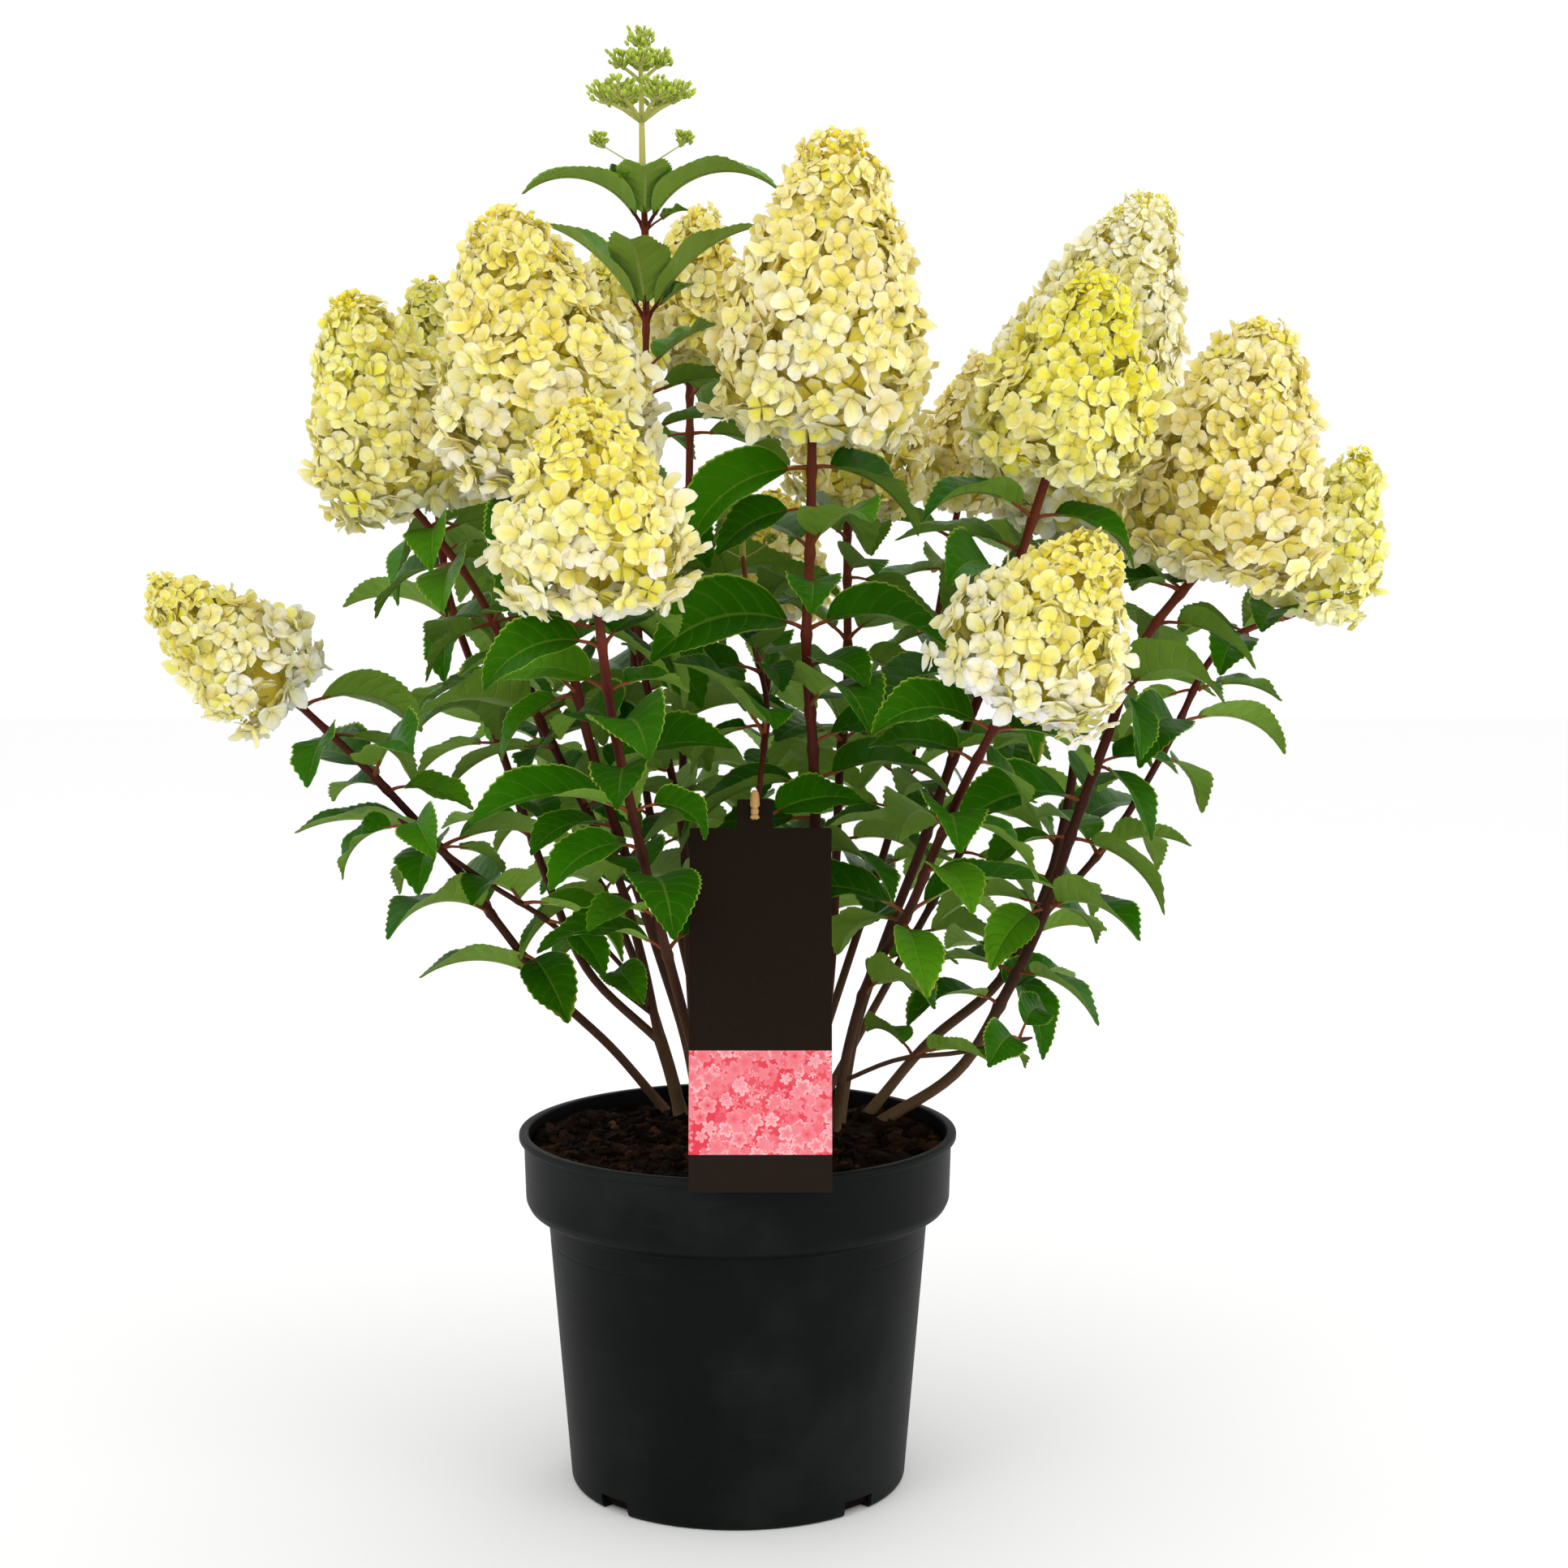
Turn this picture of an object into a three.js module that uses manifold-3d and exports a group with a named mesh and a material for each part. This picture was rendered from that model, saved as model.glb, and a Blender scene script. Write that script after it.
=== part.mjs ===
import * as THREE from 'three';
import { mergeVertices } from 'three/addons/utils/BufferGeometryUtils.js';
import Module from 'manifold-3d';

const wasm = await Module();
wasm.setup();

// A potted panicle hydrangea in millimetres, +Z up, standing on the centre of its pot's foot.
// The front of the plant faces -Y.

// Pot
const POT_HEIGHT = 211;
const LIP_RADIUS = 130;
const LIP_DEPTH = 4.5;
const BAND_RADIUS = 126;
const BAND_BOTTOM = 171;
const BODY_TOP = 161;
const BODY_TOP_RADIUS = 113;
const FOOT_RADIUS = 100;
const WALL = 2.6;
const POT_SIDES = 28;
const DRAIN_NOTCHES = 4;
const NOTCH_WIDTH = 22;
const NOTCH_HEIGHT = 9;
const NOTCH_DEPTH = 9;

// Soil
const SOIL_LEVEL = 203;
const FIT = 0.4;
const SOIL_RELIEF = 3;
const SOIL_RINGS = [0.34, 0.68];
const HOLE_GAP = 0.45;
const BURIED = 34;
const CHIPS = 8;
const CHIP_SIZE = [22, 9, 6];
const CHIP_TILT = 16;
const CHIP_RAISE = 0.8;
const GOLDEN_TURN = 2.39996;

// Label
const CARD_WIDTH = 79;
const CARD_THICKNESS = 0.8;
const CARD_FOOT = [14.5, -131.7, 204.5];
const CARD_LEAN = Math.atan2(44.5, 208);
const CARD_LENGTH = 201;
const NECK_WIDTH = 20;
const NECK_LENGTH = 16;
const NECK_FROM_MIDDLE = -3.2;
const SLOT_WIDTH = 5.2;
const SLOT_LENGTH = 7.4;
const PEG_WIDTH = 4.4;
const PEG_HEIGHT = 6.6;
const PEG_HEAD = 16;
const PEG_HEAD_RADIUS = PEG_WIDTH * 0.72;
const PEG_TIP_RADIUS = PEG_WIDTH * 0.42;
const PEG_FIT = 0.35;
const PEG_REACH = 8.75;

// Canes
const CANE_SIDES = 5;
const CURVE_STEPS = 4;
const SHOOT_STEP = 60;
const HEAD_GAP = 0.3;

// Leaves
const PETIOLE = 13;
const PETIOLE_HALF = 1.2;
const BLADE_HALF_THICKNESS = 0.7;
const BLADE_WIDTH = 0.205;
const RIBS = [0, 0.3, 0.63, 1];
const MARGIN = [[0.13, 0.82], [0.29, 0.86], [0.47, 1.06], [0.79, 0.58]];
// Triangles of half a face: a rib point, a margin point or else the next rib point, a margin point
const BLADE_SPLIT = [[0, 1, 0], [0, -1, 1], [1, 2, 1], [1, 3, 2], [1, -1, 3], [2, 4, 3], [2, -1, 4]];
const LEAF_RISE = 38;
const LEAF_BEND = 72;
const LEAF_FOLD = 24;
const LEAF_FACING = 30;
const CLEARANCE = 2.4;
const HEAD_MARGIN = 7;
const POT_MARGIN = 14;
const WHORL_NODE = 50;
const TOP_LEAF = 0.86;
const LOW_LEAF = 0.85;
const LEAF_TURNS = [0, 16, -16, 32, -32, 48, -48, 66, -66];
const LEAF_DROOPS = [0, 22, -20, 44];
const LEAF_SIZES = [1, 0.78];

// Flower heads
const FLORET_WIDTH = 45;
const FLORET_HEIGHT = 39;
const FLORET_DEPTH = 9.5;
const FLORET_TWIST = 0.38;
const HEAD_PROFILE = [
  [0, 0.56], [0.12, 0.88], [0.28, 1], [0.48, 0.9], [0.7, 0.65], [0.88, 0.38], [1, 0.16],
];
const FEWEST_AROUND = 5;
const FEWEST_ROWS = 3;

// Panicles in bud: a stalk with whorls of side stalks, each swelling into a bunch of buds. A whorl
// has its share of the height, its reach as a share of the radius, and its count.
const BUD_WHORLS = [[0.12, 0.9, 2], [0.38, 1, 5], [0.6, 0.66, 4]];
const BUD_STALK = 1;
const BUD_BUNCH = [[0, 0.9], [0.52, 0.8], [0.84, 7.4], [1.08, 2.6]];
const BUD_SIDES = 3;
const BUD_WIDTH = 31;

// Each shoot runs from the soil, or from the shoot that it forks from, to its tip. Its thick and
// thin radius follow, then the stretch that bears leaves, the pairs of leaves on it, the way that
// the top pair points and the length of a full leaf. Shoots with one name grow as one plant part.
const SHOOTS = [
  {
    name: 'cane_centre', thick: 4.6, thin: 3, leafy: [0.42, 0.95], pairs: 6, turn: 196, leaf: 97,
    path: [[44, 8, 203], [47, -8, 281], [46, -30, 366], [46, -42, 406], [43, -56, 455],
      [40, -68, 500], [42, -75, 540], [42, -80, 581], [43, -82, 622]],
    head: { name: 'panicle_centre', apex: [59, -83, 783], radius: 59 },
  },
  {
    name: 'cane_front_left', thick: 4.2, thin: 2.8, leafy: [0.42, 0.93], pairs: 5, turn: 15, leaf: 92,
    path: [[-15, -8, 203], [-21, -40, 248], [-29, -70, 291], [-39, -100, 336], [-49, -132, 391],
      [-59, -155, 441], [-63, -165, 467], [-67, -176, 505], [-70, -180, 531]],
    head: { name: 'panicle_front_left', apex: [-76, -186, 633], radius: 52 },
  },
  {
    name: 'cane_right_front', thick: 4.2, thin: 2.7, leafy: [0.3, 0.93], pairs: 4, turn: 10, leaf: 90,
    path: [[58, 24, 203], [62, 12, 236], [69, -8, 275], [83, -34, 321], [102, -68, 356],
      [115, -102, 402], [128, -126, 434], [139, -145, 462], [148, -150, 478]],
    head: { name: 'panicle_right_front', apex: [193, -157, 563], radius: 49 },
  },
  {
    name: 'cane_right_front', thick: 1.9, thin: 1.6, leafy: [0.42, 0.97], pairs: 2, turn: 60, leaf: 62,
    path: [[62, 12, 236], [91, -4, 252], [120, -20, 259], [147, -32, 265], [167, -40, 272]],
  },
  {
    name: 'cane_low_left', thick: 3.9, thin: 2.4, leafy: [0.36, 0.97], pairs: 5, turn: 20, leaf: 90,
    path: [[-47, 84, 203], [-62, 70, 230], [-78, 54, 248], [-101, 34, 274], [-124, 10, 307],
      [-149, -16, 349], [-164, -30, 374], [-181, -40, 395], [-205, -48, 424], [-235, -56, 457],
      [-253, -60, 474]],
    head: { name: 'panicle_low_left', apex: [-326, -76, 536], radius: 35 },
  },
  {
    name: 'cane_far_right', thick: 4.8, thin: 3, leafy: [0.27, 0.95], pairs: 5, turn: 40, leaf: 94,
    path: [[88, 52, 203], [106, 46, 214], [139, 38, 243], [161, 25, 287], [177, 14, 321],
      [192, 4, 373], [207, 0, 414], [220, 0, 452], [234, 0, 491], [252, 0, 527], [273, 0, 545]],
    head: { name: 'panicle_far_right', apex: [307, -5, 685], radius: 61 },
  },
  {
    name: 'cane_far_right', thick: 3, thin: 2.2, leafy: [0.2, 0.93], pairs: 3, turn: 100, leaf: 83,
    path: [[182, 10, 337], [216, 30, 370], [233, 38, 392], [253, 46, 424], [269, 50, 452],
      [298, 58, 503], [320, 60, 522], [347, 62, 518]],
    head: { name: 'panicle_outer_right', apex: [378, 62, 612], radius: 33 },
  },
  {
    name: 'cane_right_mid', thick: 4.2, thin: 3, leafy: [0.45, 0.93], pairs: 5, turn: 0, leaf: 92,
    path: [[62, 60, 203], [70, 58, 254], [89, 46, 316], [109, 26, 373], [123, 4, 419],
      [132, -10, 449], [144, -20, 478], [154, -34, 516], [161, -44, 549], [169, -54, 583],
      [176, -60, 600]],
    head: { name: 'panicle_right_mid', apex: [203, -66, 707], radius: 59 },
  },
  {
    name: 'cane_left', thick: 5.2, thin: 4.6, leafy: [0, 0], pairs: 0, turn: 0, leaf: 0,
    path: [[-36, 62, 203], [-42, 56, 231], [-49, 48, 257]],
  },
  {
    name: 'cane_left', thick: 3.8, thin: 2.6, leafy: [0.28, 0.94], pairs: 5, turn: 25, leaf: 92,
    path: [[-49, 48, 255], [-53, 38, 277], [-63, 14, 335], [-77, 0, 377], [-94, -10, 413],
      [-107, -16, 442], [-128, -22, 484], [-145, -25, 522], [-167, -27, 562], [-186, -28, 580]],
    head: { name: 'panicle_left', apex: [-221, -28, 700], radius: 47 },
  },
  {
    name: 'cane_left', thick: 3.7, thin: 2.6, leafy: [0.4, 0.95], pairs: 4, turn: 70, leaf: 90,
    path: [[-49, 48, 254], [-78, 58, 272], [-103, 68, 313], [-122, 78, 357], [-136, 86, 393],
      [-151, 94, 440], [-168, 102, 483], [-182, 108, 526], [-189, 112, 559], [-189, 116, 588]],
    head: { name: 'panicle_left_back', apex: [-192, 118, 719], radius: 41 },
  },
  {
    name: 'cane_left', thick: 2.3, thin: 1.7, leafy: [0.24, 0.98], pairs: 3, turn: 110, leaf: 74,
    path: [[-51, 44, 270], [-75, 12, 296], [-97, -18, 325], [-115, -38, 347], [-131, -52, 362],
      [-145, -62, 369], [-158, -70, 379], [-171, -78, 391], [-184, -86, 403]],
  },
  {
    name: 'cane_left', thick: 2, thin: 1.7, leafy: [0, 0], pairs: 0, turn: 0, leaf: 0,
    path: [[-49, 47, 262], [-60, 58, 283], [-82, 76, 305], [-103, 94, 331]],
  },
  {
    name: 'cane_tall', thick: 3.6, thin: 2, leafy: [0.25, 0.77], pairs: 4, turn: 150, leaf: 90,
    path: [[-24, 46, 203], [-30, 35, 298], [-32, 22, 373], [-38, 14, 418], [-49, 6, 457],
      [-56, 0, 489], [-59, -4, 525], [-56, -4, 591], [-52, 0, 684], [-53, 0, 735],
      [-54, 0, 775]],
    whorls: [
      { at: 0.985, ways: [195, -12, -92], leaf: 86 },
      { at: 0.915, ways: [168, 22, -84], leaf: 86 },
    ],
    head: { name: 'panicle_bud_tall', apex: [-55, 0, 855], radius: 31, bud: true },
  },
  {
    name: 'cane_left_mid', thick: 4, thin: 3, leafy: [0.45, 0.95], pairs: 5, turn: 35, leaf: 92,
    path: [[-22, 22, 203], [-33, 4, 272], [-46, -16, 318], [-56, -30, 353], [-66, -44, 388],
      [-75, -54, 418], [-84, -62, 451], [-93, -70, 500], [-97, -76, 550], [-96, -80, 597]],
    head: { name: 'panicle_left_mid', apex: [-129, -78, 741], radius: 60 },
  },
  {
    name: 'cane_inner_bud', thick: 2.4, thin: 1.7, leafy: [0.52, 0.94], pairs: 4, turn: 170, leaf: 80,
    path: [[8, -30, 203], [11, -60, 290], [12, -77, 362], [12, -82, 409], [17, -70, 440],
      [18, -45, 465], [11, -14, 491], [6, 16, 524], [3, 30, 550]],
    head: { name: 'panicle_bud_inner', apex: [2, 32, 606], radius: 22, bud: true },
  },
  {
    name: 'cane_behind_centre', thick: 4, thin: 2.8, leafy: [0.45, 0.94], pairs: 4, turn: 60, leaf: 92,
    path: [[37, 42, 203], [52, 54, 259], [59, 70, 332], [60, 80, 375], [63, 95, 430],
      [68, 108, 490], [66, 118, 552], [67, 120, 582]],
    head: { name: 'panicle_behind_centre', apex: [93, 121, 684], radius: 39 },
  },
  {
    name: 'cane_right_back', thick: 4.4, thin: 3, leafy: [0.3, 0.94], pairs: 4, turn: 30, leaf: 92,
    path: [[79, 68, 203], [104, 76, 234], [138, 82, 265], [166, 86, 289], [189, 94, 334],
      [205, 106, 389], [215, 118, 464], [218, 126, 520], [219, 130, 564]],
    head: { name: 'panicle_right_back', apex: [257, 131, 772], radius: 60 },
  },
  {
    name: 'cane_back_mid', thick: 3.9, thin: 2.7, leafy: [0.4, 0.95], pairs: 3, turn: 80, leaf: 92,
    path: [[-14, 72, 203], [-29, 104, 286], [-35, 134, 386], [-38, 148, 448], [-35, 160, 540],
      [-33, 168, 619], [-33, 170, 672]],
    head: { name: 'panicle_back_mid', apex: [-26, 171, 768], radius: 38 },
  },
  {
    name: 'cane_back_left', thick: 3.8, thin: 2.6, leafy: [0.35, 0.95], pairs: 4, turn: 120, leaf: 92,
    path: [[-19, 94, 203], [-33, 140, 280], [-61, 180, 380], [-72, 206, 485], [-75, 224, 592],
      [-79, 230, 678]],
    head: { name: 'panicle_back_left', apex: [-91, 231, 748], radius: 33 },
  },
  {
    name: 'cane_back_right', thick: 3.8, thin: 2.5, leafy: [0.35, 0.94], pairs: 4, turn: 10, leaf: 92,
    path: [[37, 84, 203], [66, 132, 281], [101, 176, 381], [121, 205, 459], [135, 220, 539],
      [144, 225, 583]],
    head: { name: 'panicle_back_right', apex: [158, 227, 678], radius: 31 },
  },
  {
    name: 'cane_rear_left', thick: 3.8, thin: 2.6, leafy: [0.35, 0.94], pairs: 3, turn: 50, leaf: 92,
    path: [[-39, 100, 203], [-65, 142, 280], [-115, 190, 379], [-145, 212, 478], [-156, 222, 548],
      [-158, 226, 590]],
    head: { name: 'panicle_rear_left', apex: [-161, 230, 676], radius: 37 },
  },
  {
    name: 'cane_rear_centre', thick: 3.6, thin: 2.4, leafy: [0.38, 0.94], pairs: 3, turn: 95, leaf: 87,
    path: [[9, 94, 203], [8, 150, 292], [12, 206, 384], [16, 240, 452], [18, 254, 508]],
    head: { name: 'panicle_rear_centre', apex: [20, 262, 590], radius: 38 },
  },
  {
    name: 'cane_rear_right', thick: 3.7, thin: 2.4, leafy: [0.4, 0.93], pairs: 3, turn: 140, leaf: 87,
    path: [[50, 96, 203], [104, 150, 289], [156, 192, 375], [186, 212, 432], [196, 220, 468]],
    head: { name: 'panicle_rear_right', apex: [206, 226, 548], radius: 38 },
  },
];

const COLOURS = {
  pot: 0x17181a,
  soil: 0x3a2418,
  leaf: 0x2f6b1f,
  floret: 0xf1ecb4,
  bud: 0x9fbf4a,
  card: 0x191517,
  peg: 0xd9b27c,
};

const radians = THREE.MathUtils.degToRad;
const lerp = THREE.MathUtils.lerp;
const UP = new THREE.Vector3(0, 0, 1);
const BACK = new THREE.Vector3(0, 1, 0);
const vector = (point) => new THREE.Vector3(...point);
const mix = (a, b, share) => new THREE.Vector3().lerpVectors(a, b, share);
const moved = (point, direction, distance) => point.clone().addScaledVector(direction, distance);
const finish = (color, roughness) => new THREE.MeshStandardMaterial({ color, roughness, metalness: 0 });

// A number from 0 to 1 that is always the same for the same place on the plant
function chance(a, b, c) {
  const value = Math.sin(a * 127.1 + b * 311.7 + c * 74.7) * 43758.5453;
  return value - Math.floor(value);
}

const spread = (a, b, c, reach) => (chance(a, b, c) * 2 - 1) * reach;

// Closed meshes and the solids that are joined and cut

function meshGeometry(points, triangles) {
  const geometry = new THREE.BufferGeometry();
  const positions = points.flatMap((point) => point.toArray());
  geometry.setAttribute('position', new THREE.Float32BufferAttribute(positions, 3));
  geometry.setIndex(triangles.flat());
  return geometry;
}

function solidOf(geometry) {
  geometry.deleteAttribute('normal');
  geometry.deleteAttribute('uv');
  const merged = mergeVertices(geometry, 1e-4);
  return new wasm.Manifold(new wasm.Mesh({
    numProp: 3,
    vertProperties: new Float32Array(merged.attributes.position.array),
    triVerts: new Uint32Array(merged.index.array),
  }));
}

function geometryOf(solid) {
  const mesh = solid.getMesh();
  const geometry = new THREE.BufferGeometry();
  geometry.setAttribute('position', new THREE.BufferAttribute(new Float32Array(mesh.vertProperties), 3));
  geometry.setIndex(new THREE.BufferAttribute(new Uint32Array(mesh.triVerts), 1));
  return geometry;
}

const joined = (solids) => solids.reduce((whole, solid) => whole.add(solid));

// A body through rings of equal length, with a flat end at each end
function loft(rings) {
  const sides = rings[0].length;
  const points = rings.flat();
  const triangles = [];
  for (let ring = 0; ring + 1 < rings.length; ring += 1) {
    for (let side = 0; side < sides; side += 1) {
      const a = ring * sides + side;
      const b = ring * sides + (side + 1) % sides;
      triangles.push([a, b, b + sides], [a, b + sides, a + sides]);
    }
  }
  const last = (rings.length - 1) * sides;
  for (let side = 1; side + 1 < sides; side += 1) {
    triangles.push([0, side + 1, side], [last, last + side, last + side + 1]);
  }
  return meshGeometry(points, triangles);
}

// Points along a smooth shoot, as a line of short straight steps

function curveOf(points) {
  const curve = new THREE.CatmullRomCurve3(points, false, 'catmullrom', 0.5);
  const steps = (points.length - 1) * CURVE_STEPS;
  return Array.from({ length: steps + 1 }, (_, index) => curve.getPoint(index / steps));
}

function lengthsOf(line) {
  const lengths = [0];
  for (let index = 1; index < line.length; index += 1) {
    lengths.push(lengths[index - 1] + line[index].distanceTo(line[index - 1]));
  }
  return lengths;
}

// The point and the heading at a share of the line's length
function along(line, share) {
  const lengths = lengthsOf(line);
  const wanted = share * lengths.at(-1);
  let index = 0;
  while (index + 2 < line.length && lengths[index + 1] < wanted) index += 1;
  const part = (wanted - lengths[index]) / (lengths[index + 1] - lengths[index]);
  return {
    point: mix(line[index], line[index + 1], part),
    heading: line[index + 1].clone().sub(line[index]).normalize(),
  };
}

function ringAround(centre, heading, radius, sides) {
  const across = BACK.clone().addScaledVector(heading, -BACK.dot(heading)).normalize();
  const other = heading.clone().cross(across);
  return Array.from({ length: sides }, (_, side) => {
    const angle = 2 * Math.PI * side / sides;
    return moved(moved(centre, across, radius * Math.cos(angle)), other, radius * Math.sin(angle));
  });
}

// The same line in steps of even length
function evenLine(line, step) {
  const pieces = Math.max(3, Math.round(lengthsOf(line).at(-1) / step));
  return Array.from({ length: pieces + 1 }, (_, index) => along(line, index / pieces).point);
}

// A tapering shoot with a ring at each point of its line. Its cut end can face another way.
function shootGeometry(line, thick, thin, endFacing = null) {
  const last = line.length - 1;
  const rings = line.map((point, index) => {
    const heading = line[Math.min(index + 1, last)].clone().sub(line[Math.max(index - 1, 0)]).normalize();
    const facing = index === last && endFacing ? endFacing : heading;
    return ringAround(point, facing, lerp(thick, thin, index / last), CANE_SIDES);
  });
  return loft(rings);
}

// Leaves

// The line of a leaf: it leaves the shoot's middle, rises, and arches over
function leafFrame(leaf, distance) {
  const curl = leaf.bend / leaf.length;
  const slope = leaf.rise - curl * distance;
  const ahead = vector([Math.cos(leaf.way), Math.sin(leaf.way), 0]);
  const side = UP.clone().cross(ahead);
  const out = (Math.sin(leaf.rise) - Math.sin(slope)) / curl;
  const up = (Math.cos(slope) - Math.cos(leaf.rise)) / curl;
  const normal = ahead.clone().multiplyScalar(-Math.sin(slope)).addScaledVector(UP, Math.cos(slope));
  return {
    point: moved(moved(leaf.root, ahead, out), UP, up),
    side: moved(side.clone().multiplyScalar(Math.cos(leaf.roll)), normal, Math.sin(leaf.roll)),
    normal: moved(normal.clone().multiplyScalar(Math.cos(leaf.roll)), side, -Math.sin(leaf.roll)),
  };
}

function leafPoint(leaf, distance, across, above) {
  const { point, side, normal } = leafFrame(leaf, distance);
  const flat = moved(point, side, across * Math.cos(leaf.fold));
  return moved(flat, normal, Math.abs(across) * Math.sin(leaf.fold) + above);
}

// The margin of one half of a leaf, from the petiole to the last tooth before the tip
function leafMargin(leaf, hand) {
  const blade = leaf.length - PETIOLE;
  const width = BLADE_WIDTH * leaf.length;
  const collar = leafPoint(leaf, PETIOLE, hand * PETIOLE_HALF, 0);
  return [collar, ...MARGIN.map(([share, reach]) => (
    leafPoint(leaf, PETIOLE + share * blade, hand * reach * width, 0)
  ))];
}

// The midrib, from the petiole to the tip
function leafRibs(leaf, above) {
  const blade = leaf.length - PETIOLE;
  return RIBS.map((share) => leafPoint(leaf, PETIOLE + share * blade, 0, share === 1 ? 0 : above));
}

// The two faces of a blade share its margin and tip and are split alike. The petiole is
// three-sided and flat below.
function leafGeometry(leaf) {
  const points = [];
  const triangles = [];
  const add = (point) => points.push(point) - 1;
  const [rootLeft, rootTop, rootRight] = [[1, -0.5], [0, 1], [-1, -0.5]].map(([across, above]) => (
    add(leafPoint(leaf, 0, across * PETIOLE_HALF, above * PETIOLE_HALF))
  ));
  const top = leafRibs(leaf, BLADE_HALF_THICKNESS).map(add);
  const bottom = [null, ...leafRibs(leaf, -BLADE_HALF_THICKNESS).slice(1, -1).map(add), top.at(-1)];
  const left = leafMargin(leaf, 1).map(add);
  const right = leafMargin(leaf, -1).map(add);
  const face = (ribs, margin, turned) => BLADE_SPLIT.forEach(([rib, from, to]) => {
    const ends = [ribs[rib], from < 0 ? ribs[rib + 1] : margin[from], margin[to]];
    if (ends[0] !== null) triangles.push(turned ? [ends[0], ends[2], ends[1]] : ends);
  });
  face(top, left, false);
  face(top, right, true);
  face(bottom, left, true);
  face(bottom, right, false);
  triangles.push([left[0], left[1], bottom[1]], [right[0], bottom[1], right[1]]);
  triangles.push([left[0], bottom[1], right[0]]);
  triangles.push([rootLeft, rootTop, top[0]], [rootLeft, top[0], left[0]]);
  triangles.push([rootTop, rootRight, right[0]], [rootTop, right[0], top[0]]);
  triangles.push([rootRight, rootLeft, left[0]], [rootRight, left[0], right[0]]);
  triangles.push([rootLeft, rootRight, rootTop]);
  return meshGeometry(points, triangles);
}

// What a leaf must stay clear of: thin triangles of the other leaves and of the card, the
// middle lines of the other shoots, the flower heads and the pot

function leafModel(leaf) {
  const ribs = leafRibs(leaf, 0);
  const triangles = [];
  const lines = [[leaf.root, ribs[0]], [ribs[0], ribs[1]], [ribs[1], ribs[2]], [ribs[2], ribs[3]]];
  for (const hand of [1, -1]) {
    const margin = leafMargin(leaf, hand);
    BLADE_SPLIT.forEach(([rib, from, to]) => {
      triangles.push([ribs[rib], from < 0 ? ribs[rib + 1] : margin[from], margin[to]]);
    });
    margin.forEach((point, index) => lines.push([point, margin[index + 1] ?? ribs[3]]));
    lines.push([ribs[1], margin[1]], [ribs[1], margin[2]], [ribs[1], margin[3]], [ribs[2], margin[3]]);
    lines.push([ribs[2], margin[4]]);
  }
  const centre = ribs[1].clone().add(ribs[2]).multiplyScalar(0.5);
  return { leaf, triangles, lines, centre, reach: leaf.length * 0.62 };
}

// Whether a line comes closer to a triangle than the gap
function lineMeets([p, q], [a, b, c], gap) {
  const normal = b.clone().sub(a).cross(c.clone().sub(a)).normalize();
  const heightP = normal.dot(p.clone().sub(a));
  const heightQ = normal.dot(q.clone().sub(a));
  if (Math.min(heightP, heightQ) > gap || Math.max(heightP, heightQ) < -gap) return false;
  const shares = [0, 0.5, 1];
  if (heightP * heightQ < 0) shares.push(heightP / (heightP - heightQ));
  return shares.some((share) => {
    if (Math.abs(lerp(heightP, heightQ, share)) > gap) return false;
    const point = mix(p, q, share);
    return [[a, b], [b, c], [c, a]].every(([from, to]) => {
      const inward = normal.clone().cross(to.clone().sub(from).normalize());
      return inward.dot(point.clone().sub(from)) > -gap;
    });
  });
}

const anyMeets = (lines, triangles, gap) => (
  lines.some((line) => triangles.some((triangle) => lineMeets(line, triangle, gap)))
);

function headWidth(share) {
  const last = HEAD_PROFILE.findIndex(([at]) => at >= share);
  if (last <= 0) return HEAD_PROFILE[0][1];
  const [fromAt, from] = HEAD_PROFILE[last - 1];
  const [toAt, to] = HEAD_PROFILE[last];
  return lerp(from, to, (share - fromAt) / (toAt - fromAt));
}

function insideHead(point, head, margin) {
  const offset = point.clone().sub(head.base);
  const height = offset.dot(head.axis);
  if (height < -margin || height > head.length + margin) return false;
  const width = moved(offset, head.axis, -height).length();
  const share = THREE.MathUtils.clamp(height / head.length, 0, 1);
  return width < head.radius * headWidth(share) + margin;
}

function leafIsClear(model, shoots, card, placed) {
  const points = model.lines.flat();
  const potReach = LIP_RADIUS + POT_MARGIN;
  if (points.some((p) => Math.hypot(p.x, p.y) < potReach && p.z < POT_HEIGHT + POT_MARGIN)) return false;
  if (shoots.some(({ head }) => head && points.some((p) => insideHead(p, head, HEAD_MARGIN)))) return false;
  if (anyMeets(model.lines, card, CLEARANCE + 1)) return false;
  for (const other of placed) {
    if (other.leaf.shoot === model.leaf.shoot && other.leaf.node === model.leaf.node) continue;
    if (other.centre.distanceTo(model.centre) > other.reach + model.reach) continue;
    if (anyMeets(model.lines, other.triangles, CLEARANCE)) return false;
    if (anyMeets(other.lines, model.triangles, CLEARANCE)) return false;
  }
  for (const shoot of shoots) {
    if (shoot === model.leaf.shoot) continue;
    const near = shoot.stretches.filter(([from]) => from.distanceTo(model.centre) < model.reach + 24);
    if (anyMeets(near, model.triangles, shoot.thick + CLEARANCE)) return false;
  }
  return true;
}

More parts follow.
